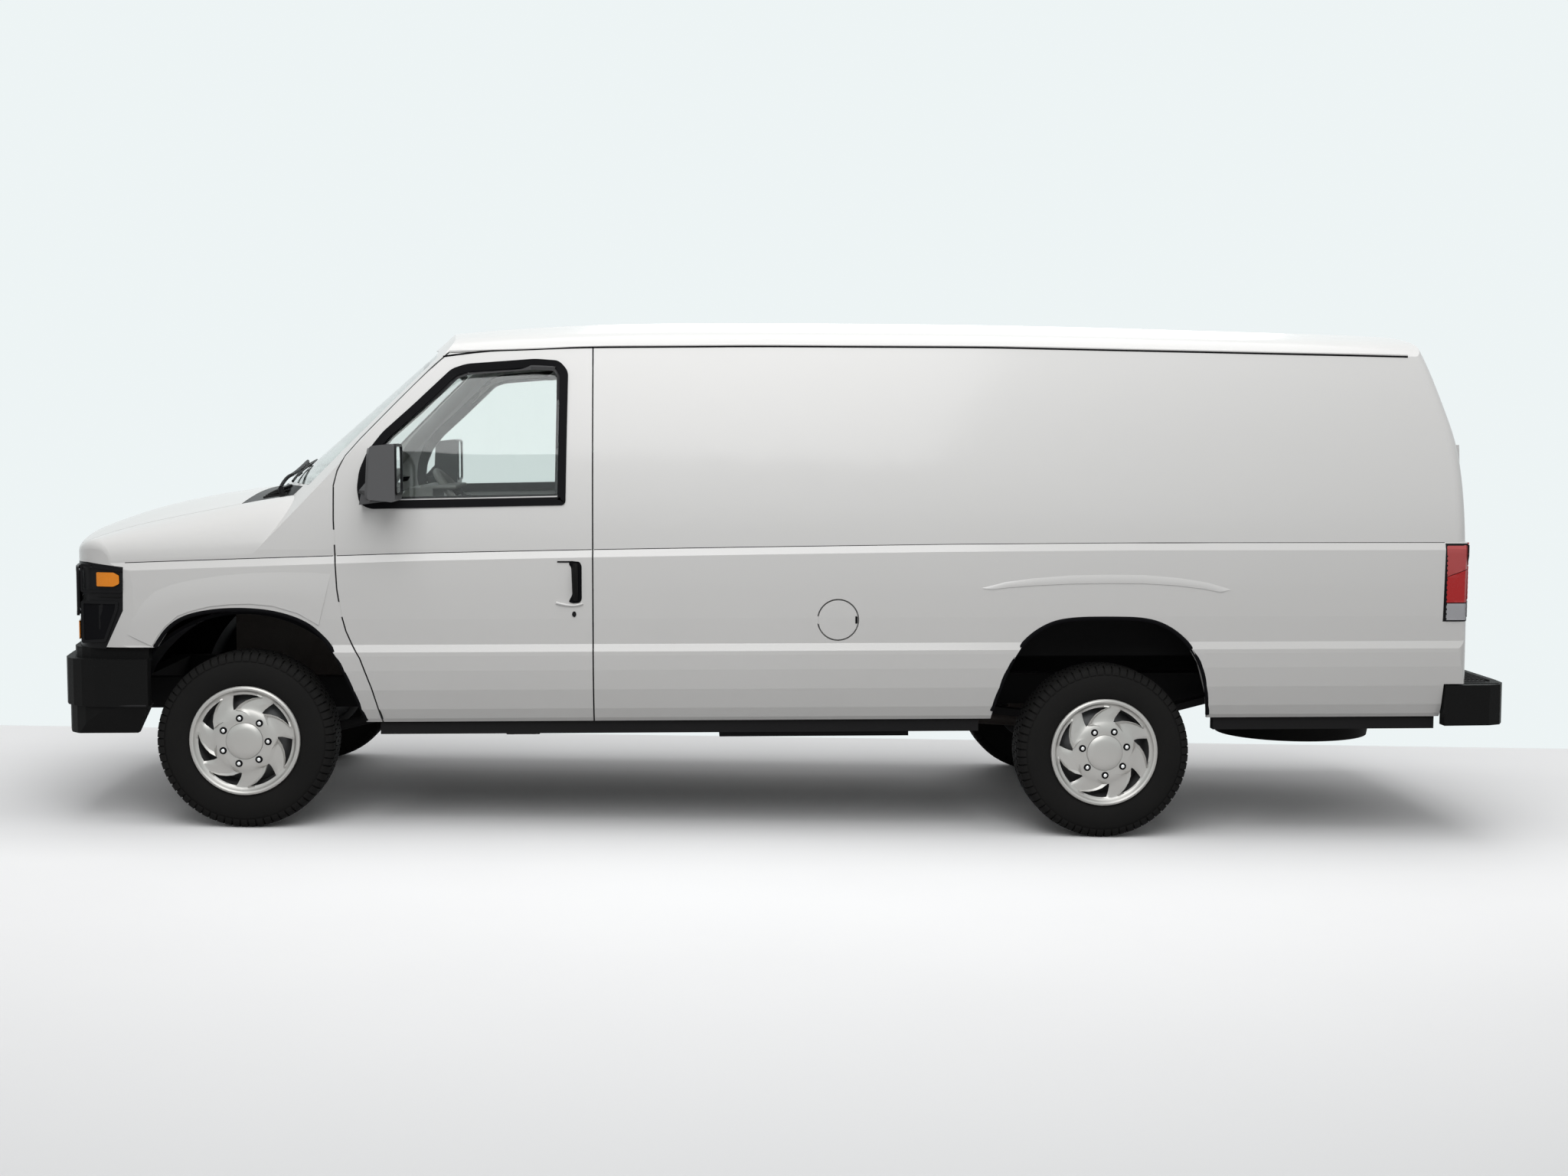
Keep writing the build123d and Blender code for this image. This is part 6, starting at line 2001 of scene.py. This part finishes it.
DOOR_LINE = [
    (0.557, 0.440),
    (0.518, 0.568),
    (0.474, 0.692),
    (0.444, 0.745),
    (0.420, 0.801),
    (0.400, 0.878),
    (0.386, 0.971),
    (0.379, 1.104),
    (0.373, 1.248),
    (0.373, 1.380),
]
make_pair("door_gap_front", gap_bead(DOOR_LINE, near_left, -1.0), "van_body", seal_rubber)
for label, x in (("front", CARGO_START), ("rear", CARGO_END)):
    rows = even_rows((x, 0.50), (x, 1.88))
    bead_bm = gap_bead(rows, near_right, 1.0)
    make_piece("cargo_gap_" + label, bead_bm, "van_body", seal_rubber)
print("gap beads made")

# %% [markdown]
# ## Under the floor
#
# Small dark brackets and two brake pipes hang below the floor. On top of it the load floor is
# ribbed, and a mat lies in front of each seat.

# %% Brackets, pipes, floor ribs and mats
hangers = bmesh.new()
for x, y, z, size in (
    (1.060, -0.700, 0.372, (0.020, 0.030, 0.070)),
    (1.150, -0.700, 0.372, (0.020, 0.030, 0.070)),
    (1.105, -0.700, 0.345, (0.140, 0.040, 0.014)),
    (2.700, -0.560, 0.420, (0.030, 0.030, 0.110)),
    (2.700, 0.560, 0.420, (0.030, 0.030, 0.110)),
    (TAIL + 0.010, -0.720, 0.470, (0.200, 0.040, 0.090)),
    (TAIL + 0.010, 0.720, 0.470, (0.200, 0.040, 0.090)),
):
    add_box(hangers, at(x, y, z), size, 0.003)
make_piece("under_brackets", hangers, "van_body", chassis_black)
pipes = bmesh.new()
for y, z in ((-0.510, 0.500), (-0.530, 0.485)):
    rows = ((0.40, 0.0), (0.90, -0.012), (1.60, 0.008), (2.40, -0.006), (2.95, 0.010))
    add_tube(pipes, [at(x, y, z + dz) for x, dz in rows], 0.004)
make_piece("brake_pipes", pipes, "van_body", chassis_black)
FLOOR_RIBS, FLOOR_PITCH = 17, 0.07
ribs = bmesh.new()
rib_size = (TAIL - DOOR_REAR - 0.45, 0.026, 0.006)
for index in range(FLOOR_RIBS):
    y = -0.56 + index * FLOOR_PITCH
    add_box(ribs, at((DOOR_REAR + TAIL) / 2 + 0.12, y, 0.6925), rib_size, 0.002)
make_piece("floor_ribs", ribs, "van_body", chassis_black)
mats = bmesh.new()
for y in (-0.560, 0.560):
    add_box(mats, at(0.760, y, 0.597), (0.380, 0.400, 0.010), 0.004)
make_piece("floor_mats", mats, "van_body", cab_mat)
print("underside finished")
